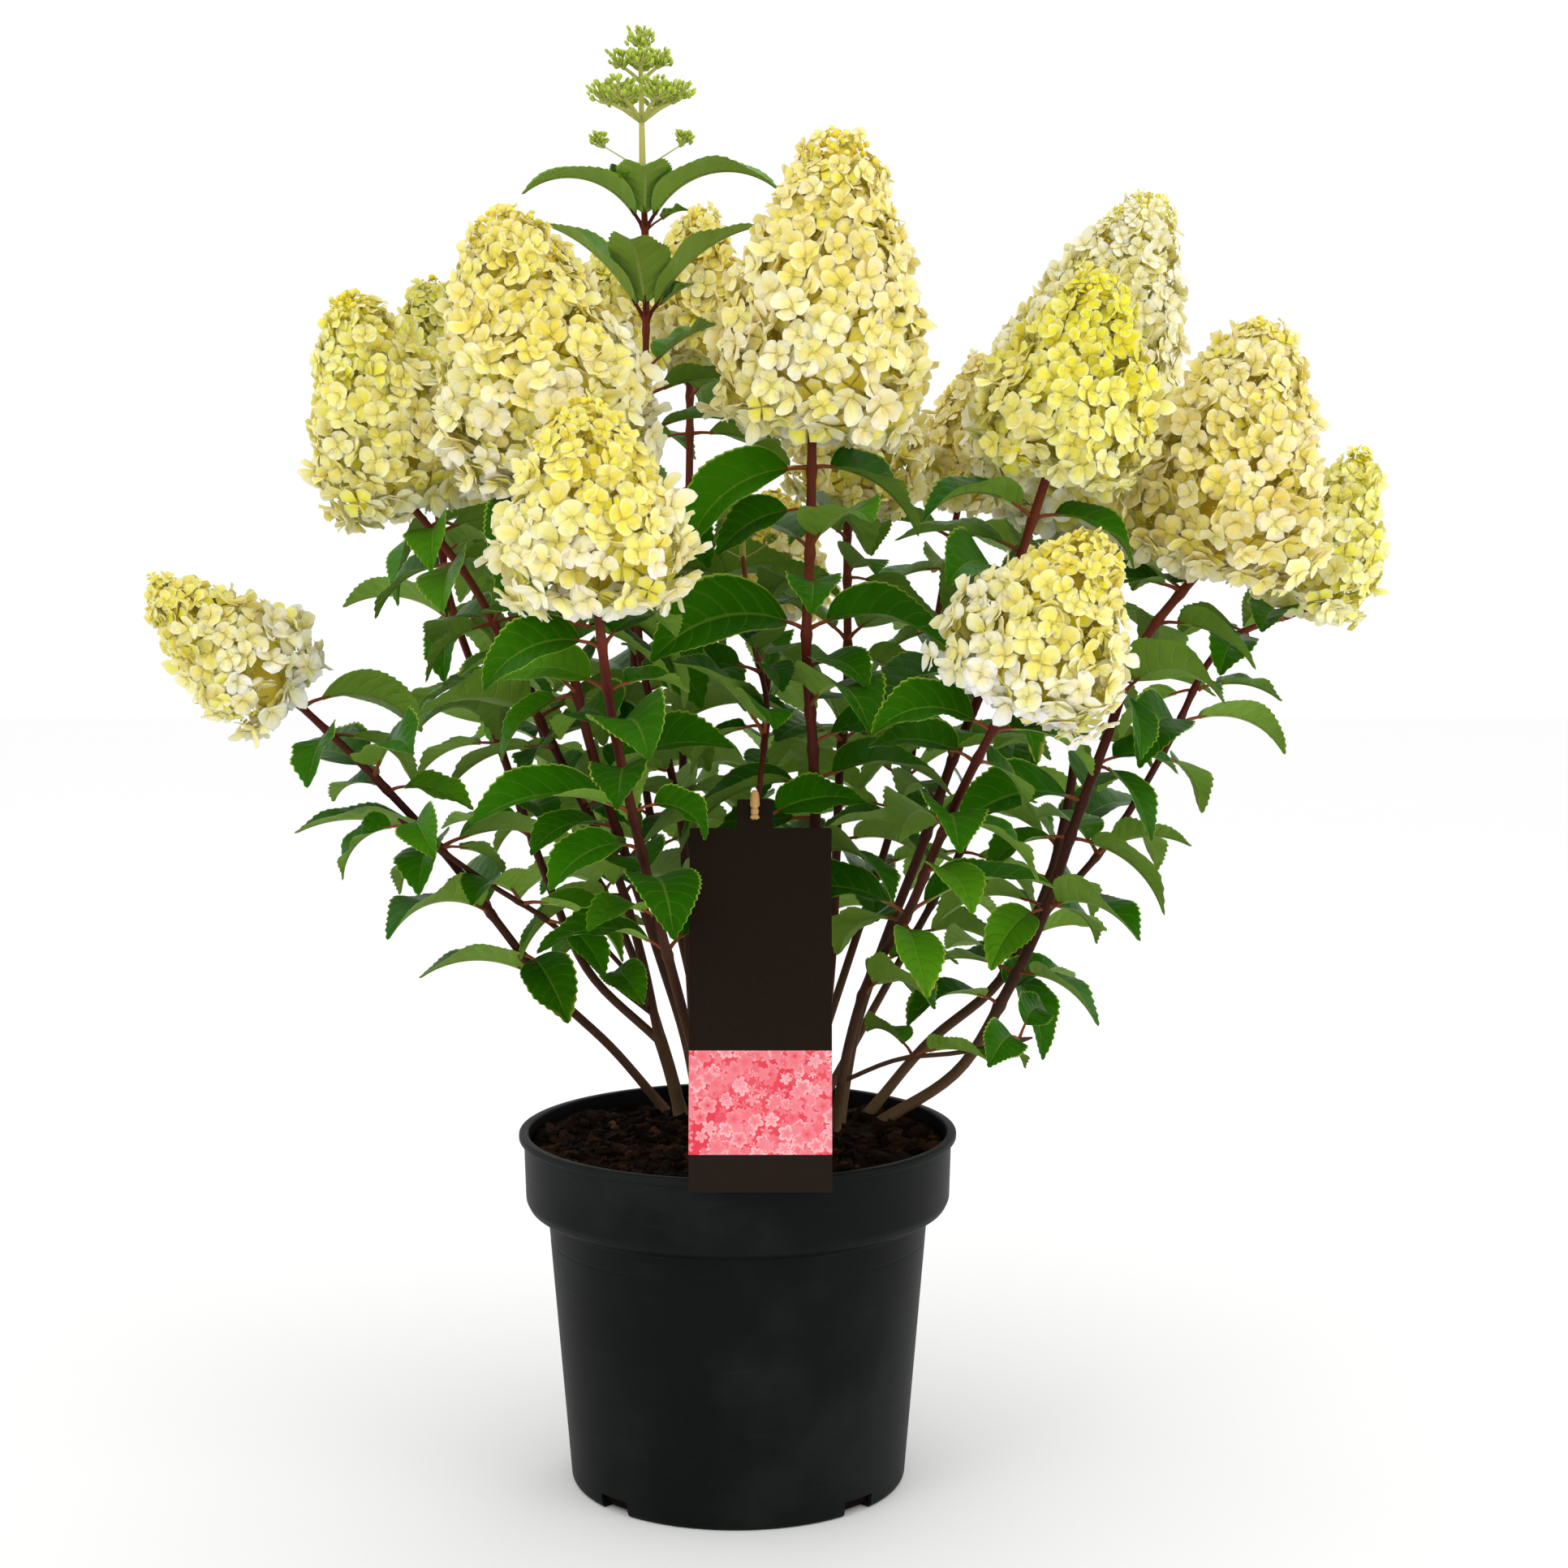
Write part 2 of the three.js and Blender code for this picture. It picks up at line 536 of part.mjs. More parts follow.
// The leaves that a shoot bears: opposite pairs, each a quarter turn on from the pair above
function leafWishes(shoot, order) {
  const wishes = [];
  const bear = (at, way, length, node, place) => {
    const vary = (salt, reach) => spread(order, node, place + salt, reach);
    wishes.push({
      shoot,
      at,
      node,
      way: way + vary(0, 9),
      length: length * (1 + vary(7, 0.1)),
      rise: LEAF_RISE + vary(13, 12),
      bend: LEAF_BEND + vary(19, 16),
      roll: vary(29, 16),
      fold: LEAF_FOLD + vary(37, 8),
    });
  };
  (shoot.whorls ?? []).forEach((whorl, index) => {
    whorl.ways.forEach((way, place) => bear(whorl.at, way, whorl.leaf, WHORL_NODE + index, place));
  });
  for (let pair = 0; pair < shoot.pairs; pair += 1) {
    const share = shoot.pairs > 1 ? pair / (shoot.pairs - 1) : 0;
    const at = lerp(shoot.leafy[1], shoot.leafy[0], share);
    const length = shoot.leaf * (pair === 0 ? TOP_LEAF : 1) * (share > 0.9 ? LOW_LEAF : 1);
    bear(at, shoot.turn + 90 * pair, length, pair, 0);
    bear(at, shoot.turn + 90 * pair + 180, length, pair, 1);
  }
  return wishes;
}

// How far a leaf rolls its upper face away from the middle of the plant, from -1 to 1
function facing(root, way) {
  const outward = Math.atan2(root.y, root.x);
  return -Math.sin(outward - way);
}

// A leaf that would touch something turns, droops or stays smaller, and else doesn't grow
function grownLeaf(wish, shoots, card, placed) {
  const { point } = along(wish.shoot.line, wish.at);
  for (const size of LEAF_SIZES) {
    for (const droop of LEAF_DROOPS) {
      for (const turn of LEAF_TURNS) {
        const way = radians(wish.way + turn);
        const leaf = {
          ...wish,
          root: point,
          way,
          length: wish.length * size,
          rise: radians(wish.rise - droop),
          bend: radians(wish.bend + droop * 0.4),
          fold: radians(wish.fold),
          roll: radians(wish.roll + LEAF_FACING * facing(point, way)),
        };
        const model = leafModel(leaf);
        if (leafIsClear(model, shoots, card, placed)) return model;
      }
    }
  }
  return null;
}

function preparedShoots() {
  return SHOOTS.map((shoot) => {
    const points = shoot.path.map(vector);
    const line = evenLine(curveOf(points), SHOOT_STEP);
    const rooted = shoot.path[0][2] === SOIL_LEVEL;
    const stretches = line.slice(1).map((point, index) => [line[index], point]);
    const prepared = { ...shoot, line, rooted, stretches };
    if (shoot.head) {
      const apex = vector(shoot.head.apex);
      const axis = apex.clone().sub(points.at(-1)).normalize();
      const base = moved(points.at(-1), axis, HEAD_GAP);
      prepared.head = { ...shoot.head, base, axis, length: base.distanceTo(apex) };
    }
    return prepared;
  });
}

// Pot and soil

function potGeometry() {
  const inner = (radius) => radius - WALL;
  const profile = [
    [0, 0], [FOOT_RADIUS - 1.5, 0], [FOOT_RADIUS, 2.5], [BODY_TOP_RADIUS, BODY_TOP],
    [BAND_RADIUS - 2.5, BAND_BOTTOM - 5], [BAND_RADIUS, BAND_BOTTOM],
    [BAND_RADIUS + 1, POT_HEIGHT - LIP_DEPTH], [LIP_RADIUS, POT_HEIGHT - LIP_DEPTH],
    [LIP_RADIUS, POT_HEIGHT], [inner(BAND_RADIUS) + 1, POT_HEIGHT], [inner(BAND_RADIUS), BAND_BOTTOM],
    [inner(BODY_TOP_RADIUS), BODY_TOP], [inner(FOOT_RADIUS), WALL], [0, WALL],
  ];
  const lathe = new THREE.LatheGeometry(profile.map(([x, y]) => new THREE.Vector2(x, y)), POT_SIDES);
  lathe.rotateX(Math.PI / 2);
  let pot = solidOf(lathe);
  for (let notch = 0; notch < DRAIN_NOTCHES; notch += 1) {
    const cutter = new THREE.BoxGeometry(NOTCH_DEPTH * 2, NOTCH_WIDTH, NOTCH_HEIGHT * 2);
    cutter.translate(FOOT_RADIUS, 0, 0);
    cutter.rotateZ(2 * Math.PI * (notch + 0.5) / DRAIN_NOTCHES);
    pot = pot.subtract(solidOf(cutter));
  }
  return geometryOf(pot);
}

function soilGeometry(shoots) {
  const edge = BAND_RADIUS - WALL - FIT;
  const rings = [[edge, SOIL_LEVEL - 2], [edge - FIT, BAND_BOTTOM + FIT],
    [BODY_TOP_RADIUS - WALL - FIT, BODY_TOP + FIT * 1.5], [FOOT_RADIUS - WALL - FIT, WALL + FIT]];
  const points = [vector([0, 0, SOIL_LEVEL])];
  const triangles = [];
  const addRing = (radius, height, relief) => {
    for (let side = 0; side < POT_SIDES; side += 1) {
      const angle = 2 * Math.PI * side / POT_SIDES;
      const dip = relief * chance(side, radius, 3) * SOIL_RELIEF;
      points.push(vector([radius * Math.sin(angle), -radius * Math.cos(angle), height - dip]));
    }
  };
  SOIL_RINGS.forEach((share) => addRing(edge * share, SOIL_LEVEL, 1));
  rings.forEach(([radius, height]) => addRing(radius, height, 0));
  const foot = points.push(vector([0, 0, WALL + FIT])) - 1;
  const count = SOIL_RINGS.length + rings.length;
  for (let side = 0; side < POT_SIDES; side += 1) {
    const next = (side + 1) % POT_SIDES;
    triangles.push([0, 1 + side, 1 + next]);
    for (let ring = 0; ring + 1 < count; ring += 1) {
      const a = 1 + ring * POT_SIDES;
      const b = a + POT_SIDES;
      triangles.push([a + side, b + side, b + next], [a + side, b + next, a + next]);
    }
    const last = 1 + (count - 1) * POT_SIDES;
    triangles.push([foot, last + next, last + side]);
  }
  let soil = solidOf(meshGeometry(points, triangles));
  const rooted = shoots.filter((shoot) => shoot.rooted);
  chipPlaces(rooted).forEach((chip) => { soil = soil.add(chip); });
  rooted.forEach((shoot) => {
    const radius = shoot.thick + HOLE_GAP;
    const [below, surface] = shoot.whole;
    const hole = shootGeometry([moved(below, UP, -HOLE_GAP), moved(surface, UP, BURIED)], radius, radius);
    soil = soil.subtract(solidOf(hole));
  });
  return geometryOf(soil);
}

// Bark chips lie on a spiral over the soil, clear of the canes
function chipPlaces(rooted) {
  const chips = [];
  const [length, width, height] = CHIP_SIZE;
  const room = BAND_RADIUS - WALL - FIT - length;
  for (let chip = 0; chip < CHIPS; chip += 1) {
    const radius = room * Math.sqrt((chip + 0.5) / CHIPS);
    const angle = chip * GOLDEN_TURN;
    const place = vector([radius * Math.cos(angle), radius * Math.sin(angle), SOIL_LEVEL]);
    if (rooted.some(({ path }) => Math.hypot(place.x - path[0][0], place.y - path[0][1]) < length)) continue;
    const size = 0.7 + 0.6 * chance(chip, 5, 1);
    const box = new THREE.BoxGeometry(length * size, width * size, height);
    box.rotateX(radians(spread(chip, 5, 2, CHIP_TILT)));
    box.rotateY(radians(spread(chip, 5, 3, CHIP_TILT)));
    box.rotateZ(radians(spread(chip, 5, 4, 180)));
    box.translate(place.x, place.y, place.z + CHIP_RAISE);
    chips.push(solidOf(box));
  }
  return chips;
}

// A cane goes straight down into the soil from the point where it comes out
function withBuriedLine(shoot) {
  return { ...shoot, whole: [moved(shoot.line[0], UP, -BURIED), ...shoot.line] };
}

// Flower heads

function headFrame(head) {
  const across = BACK.clone().addScaledVector(head.axis, -BACK.dot(head.axis)).normalize().negate();
  return { across, other: head.axis.clone().cross(across) };
}

function headPoint(head, frame, angle, height, radius) {
  const around = moved(frame.across.clone().multiplyScalar(Math.cos(angle)), frame.other, Math.sin(angle));
  return moved(moved(head.base, head.axis, height), around, radius);
}

// A head is a cone of cells. Each cell is a floret: a middle, and a petal over each of its four sides.
function headGeometry(head, order) {
  const frame = headFrame(head);
  const around = Math.max(FEWEST_AROUND, Math.round(2 * Math.PI * head.radius / FLORET_WIDTH));
  const rows = Math.max(FEWEST_ROWS, Math.round((head.length + head.radius * 0.5) / FLORET_HEIGHT));
  const points = [];
  const triangles = [];
  const add = (turn, row, inset, jitter) => {
    const share = row / rows;
    const outer = head.radius * headWidth(THREE.MathUtils.clamp(share, 0, 1));
    const angle = 2 * Math.PI * (turn + FLORET_TWIST * row) / around;
    const radius = Math.max(outer * 0.3, outer - inset + spread(order, turn * 3.1, row * 5.3, jitter));
    const height = Math.max(0.5, head.length * share);
    return points.push(headPoint(head, frame, angle, height, radius)) - 1;
  };
  const depth = (row) => FLORET_DEPTH * (1 - 0.45 * row / rows);
  const corners = Array.from({ length: rows + 1 }, (_, row) => (
    Array.from({ length: around }, (__, turn) => add(turn, row, depth(row), 0))
  ));
  for (let row = 0; row < rows; row += 1) {
    for (let turn = 0; turn < around; turn += 1) {
      const next = (turn + 1) % around;
      const loop = [corners[row][turn], corners[row][next], corners[row + 1][next], corners[row + 1][turn]];
      const middle = add(turn + 0.5, row + 0.46, depth(row) * 0.5, 0.6);
      const petals = [
        add(turn + 0.46, row - 0.04, -0.4, 1.4), add(turn + 0.88, row + 0.42, -0.6, 1.4),
        add(turn + 0.54, row + 0.86, 0.6, 1.2), add(turn + 0.12, row + 0.5, -0.6, 1.4),
      ];
      petals.forEach((petal, side) => {
        const from = loop[side];
        const to = loop[(side + 1) % 4];
        triangles.push([middle, from, petal], [middle, petal, to], [petal, from, to]);
      });
    }
  }
  const foot = points.push(head.base.clone()) - 1;
  const apex = points.push(moved(head.base, head.axis, head.length)) - 1;
  for (let turn = 0; turn < around; turn += 1) {
    const next = (turn + 1) % around;
    triangles.push([foot, corners[0][next], corners[0][turn]]);
    triangles.push([corners[rows][turn], corners[rows][next], apex]);
  }
  return meshGeometry(points, triangles);
}

function budStalk(root, end, size) {
  const heading = end.clone().sub(root).normalize();
  return solidOf(loft(BUD_BUNCH.map(([share, radius], index) => (
    ringAround(mix(root, end, share), heading, index === 2 ? radius * size : radius, BUD_SIDES)
  ))));
}

function budGeometry(head) {
  const frame = headFrame(head);
  const onAxis = (share) => moved(head.base, head.axis, head.length * share);
  const solids = [
    solidOf(shootGeometry([head.base, onAxis(0.8)], BUD_STALK * 1.4, BUD_STALK)),
    budStalk(onAxis(0.74), onAxis(0.95), head.radius / BUD_WIDTH),
  ];
  BUD_WHORLS.forEach(([share, reach, count], whorl) => {
    for (let place = 0; place < count; place += 1) {
      const angle = 2 * Math.PI * (place / count + 0.25 + whorl * 0.11);
      const height = head.length * share;
      const reached = head.radius * reach;
      const end = headPoint(head, frame, angle, height + reached * 0.36, reached * 0.92);
      solids.push(budStalk(onAxis(share), end, (0.7 + 0.5 * reach) * head.radius / BUD_WIDTH));
    }
  });
  return geometryOf(joined(solids));
}

// Label: a card that leans on the pot's lip, and a peg through its slot on the thin cane behind

function cardFrame(geometry) {
  geometry.rotateX(Math.PI / 2 - CARD_LEAN);
  geometry.translate(...CARD_FOOT);
  return geometry;
}

function cardGeometry() {
  const half = CARD_WIDTH / 2;
  const neckLeft = NECK_FROM_MIDDLE - NECK_WIDTH / 2;
  const neckRight = NECK_FROM_MIDDLE + NECK_WIDTH / 2;
  const outline = [
    [-half, 0], [half, 0], [half, CARD_LENGTH], [neckRight, CARD_LENGTH],
    [neckRight, CARD_LENGTH + NECK_LENGTH], [neckLeft, CARD_LENGTH + NECK_LENGTH],
    [neckLeft, CARD_LENGTH], [-half, CARD_LENGTH],
  ];
  const shape = new THREE.Shape(outline.map(([x, y]) => new THREE.Vector2(x, y)));
  const slotMiddle = CARD_LENGTH + NECK_LENGTH / 2;
  const slot = [[-1, -1], [-1, 1], [1, 1], [1, -1]].map(([x, y]) => new THREE.Vector2(
    NECK_FROM_MIDDLE + x * SLOT_WIDTH / 2, slotMiddle + y * SLOT_LENGTH / 2,
  ));
  shape.holes.push(new THREE.Path(slot));
  return cardFrame(new THREE.ExtrudeGeometry(shape, { depth: CARD_THICKNESS, bevelEnabled: false }));
}

const cardTriangles = () => {
  const half = CARD_WIDTH / 2;
  const corner = (x, y) => vector([x, y, 0]).applyAxisAngle(vector([1, 0, 0]), Math.PI / 2 - CARD_LEAN)
    .add(vector(CARD_FOOT));
  const top = CARD_LENGTH + NECK_LENGTH;
  const [a, b, c, d] = [corner(-half, 0), corner(half, 0), corner(half, top), corner(-half, top)];
  return [[a, b, c], [a, c, d]];
};

// The peg's shank goes through the slot to the cane, and its head stays in front of the card
function pegGeometry() {
  const middle = CARD_LENGTH + NECK_LENGTH / 2;
  const shank = new THREE.BoxGeometry(PEG_WIDTH, PEG_HEIGHT, PEG_REACH);
  shank.translate(NECK_FROM_MIDDLE, middle, -PEG_REACH / 2 + CARD_THICKNESS + 1);
  const head = new THREE.CylinderGeometry(PEG_TIP_RADIUS, PEG_HEAD_RADIUS, PEG_HEAD, 8);
  head.translate(NECK_FROM_MIDDLE, middle + 1.5, CARD_THICKNESS + PEG_FIT + PEG_HEAD_RADIUS);
  return cardFrame(geometryOf(solidOf(shank).add(solidOf(head))));
}

// The plant

function build() {
  const part = new THREE.Group();
  const place = (name, geometry, material) => {
    const flat = geometry.index ? geometry.toNonIndexed() : geometry;
    const mesh = new THREE.Mesh(flat, material);
    mesh.name = name;
    part.add(mesh);
  };
  const shoots = preparedShoots().map((shoot) => (shoot.rooted ? withBuriedLine(shoot) : shoot));
  const leafFinish = finish(COLOURS.leaf, 0.55);
  const floretFinish = finish(COLOURS.floret, 0.8);
  const budFinish = finish(COLOURS.bud, 0.75);
  place('pot', potGeometry(), finish(COLOURS.pot, 0.45));
  place('soil', soilGeometry(shoots), finish(COLOURS.soil, 0.95));
  place('label_card', cardGeometry(), finish(COLOURS.card, 0.4));
  place('label_peg', pegGeometry(), finish(COLOURS.peg, 0.65));

  const placed = [];
  const card = cardTriangles();
  const canes = new Map();
  shoots.forEach((shoot, order) => {
    const solids = canes.get(shoot.name) ?? [];
    const line = shoot.whole ?? shoot.line;
    solids.push(solidOf(shootGeometry(line, shoot.thick, shoot.thin, shoot.head?.axis)));
    for (const wish of leafWishes(shoot, order)) {
      const model = grownLeaf(wish, shoots, card, placed);
      if (!model) continue;
      placed.push(model);
      solids.push(solidOf(leafGeometry(model.leaf)));
    }
    canes.set(shoot.name, solids);
  });
  for (const [name, solids] of canes) place(name, geometryOf(joined(solids)), leafFinish);
  shoots.forEach(({ head }, order) => {
    if (!head) return;
    if (head.bud) place(head.name, budGeometry(head), budFinish);
    else place(head.name, headGeometry(head, order), floretFinish);
  });
  return part;
}

export default build();
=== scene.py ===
"""The looks of a potted panicle hydrangea, around the frame that its solids give.

The file is laid out as an add-on and run as a script. Lengths of the plant's plan are in millimetres
and every mesh is in metres. The front of the plant faces -Y."""

import math
from dataclasses import dataclass
from itertools import product
from typing import NamedTuple

import bmesh
import bpy
import numpy as np
from mathutils import Matrix, Vector
from mathutils.kdtree import KDTree


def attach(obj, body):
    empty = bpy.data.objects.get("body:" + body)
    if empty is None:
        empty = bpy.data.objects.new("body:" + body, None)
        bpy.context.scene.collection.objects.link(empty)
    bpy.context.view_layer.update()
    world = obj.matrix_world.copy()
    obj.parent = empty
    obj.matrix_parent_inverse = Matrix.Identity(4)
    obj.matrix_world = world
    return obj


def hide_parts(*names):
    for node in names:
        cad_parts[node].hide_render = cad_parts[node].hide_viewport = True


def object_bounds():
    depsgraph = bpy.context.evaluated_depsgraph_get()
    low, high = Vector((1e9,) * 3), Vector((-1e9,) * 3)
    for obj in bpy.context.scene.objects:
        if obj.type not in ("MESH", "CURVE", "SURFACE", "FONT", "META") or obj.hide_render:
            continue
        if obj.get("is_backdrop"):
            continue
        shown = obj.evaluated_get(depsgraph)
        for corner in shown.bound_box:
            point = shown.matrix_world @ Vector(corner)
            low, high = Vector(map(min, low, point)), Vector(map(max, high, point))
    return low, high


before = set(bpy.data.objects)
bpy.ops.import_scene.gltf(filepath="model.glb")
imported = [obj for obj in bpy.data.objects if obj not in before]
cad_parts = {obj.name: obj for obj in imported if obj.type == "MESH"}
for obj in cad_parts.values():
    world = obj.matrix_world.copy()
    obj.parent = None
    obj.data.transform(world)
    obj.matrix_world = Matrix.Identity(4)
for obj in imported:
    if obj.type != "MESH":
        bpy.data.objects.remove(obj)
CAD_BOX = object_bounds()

bl_info = {
    "name": "Potted Panicle Hydrangea",
    "version": (1, 0, 0),
    "blender": (4, 5, 0),
    "location": "3D View > Sidebar > Hydrangea",
    "description": "Builds a flowering shrub in a nursery pot piece by piece",
    "category": "Add Mesh",
}

MM = 0.001
SEED = 41
TINT_SEED = 7
GOLDEN_ANGLE = math.pi * (3 - math.sqrt(5))
THIN_EDGE = 110
UP = np.array([0.0, 0.0, 1.0])
BACK = np.array([0.0, 1.0, 0.0])

# The plan of the canes, the leaves and the heads, which the solids follow too
SOIL_LEVEL = 203
CURVE_STEPS = 4
FINE_STEPS = 8
SHOOT_STEP = 60
HEAD_GAP = 0.3
PETIOLE = 13
LEAF_RISE = 38
LEAF_BEND = 72
LEAF_FOLD = 24
LEAF_FACING = 30
LEAF_TURNS = (0, 16, -16, 32, -32, 48, -48, 66, -66)
LEAF_DROOPS = (0, 22, -20, 44)
LEAF_SIZES = (1, 0.78)
DROOP_BEND = 0.4
POT_HEIGHT = 211
LIP_RADIUS = 130
CARD_WIDTH = 79
CARD_THICKNESS = 0.8
CARD_FOOT = (14.5, -131.7, 204.5)
CARD_LEAN = math.atan2(44.5, 208)
CARD_LENGTH = 201
PEG_LEVEL = 412
PEG_VIEW = 22
SHORT_LEAF = 0.86
FILL_STEP = 44
FILL_GAP = 8
LOW_GAP = 6
WHORL_NODE = 50
TOP_LEAF = 0.86
LOW_LEAF = 0.85
SAME_PLACE = 0.08
BUD_WHORLS = ((-0.04, 0.19, 0.8, 2, 0.6), (0.3, 0.52, 0.66, 6, 1), (0.58, 0.75, 0.36, 4, 0.78))
BUD_WIDTH = 31

# How far a leaf may differ from its fellows: a salt for its draw, then its reach
LEAF_VARIES = {
    "way": (0, 9), "length": (7, 0.1), "rise": (13, 12), "bend": (19, 16), "roll": (29, 16), "fold": (37, 8),
}


class HeadPlan(NamedTuple):
    """A flower head on the tip of its cane, with its florets' colours at its tip and its foot. A head in
    bud has none. The lean is how far a head bows to the left at its middle."""
    name: str
    apex: tuple
    radius: float
    tip: tuple = None
    foot: tuple = None
    bud: bool = False
    lean: float = 0


class ShootPlan(NamedTuple):
    """A cane from its foot to its head. Its leaves stand in pairs between two shares of its length, and
    the turn of the top pair is in degrees. A whorl has its own share, ways and length of leaf."""
    name: str
    thick: float
    thin: float
    leafy: tuple
    pairs: int
    turn: float
    leaf: float
    path: tuple
    head: HeadPlan = None
    whorls: tuple = ()


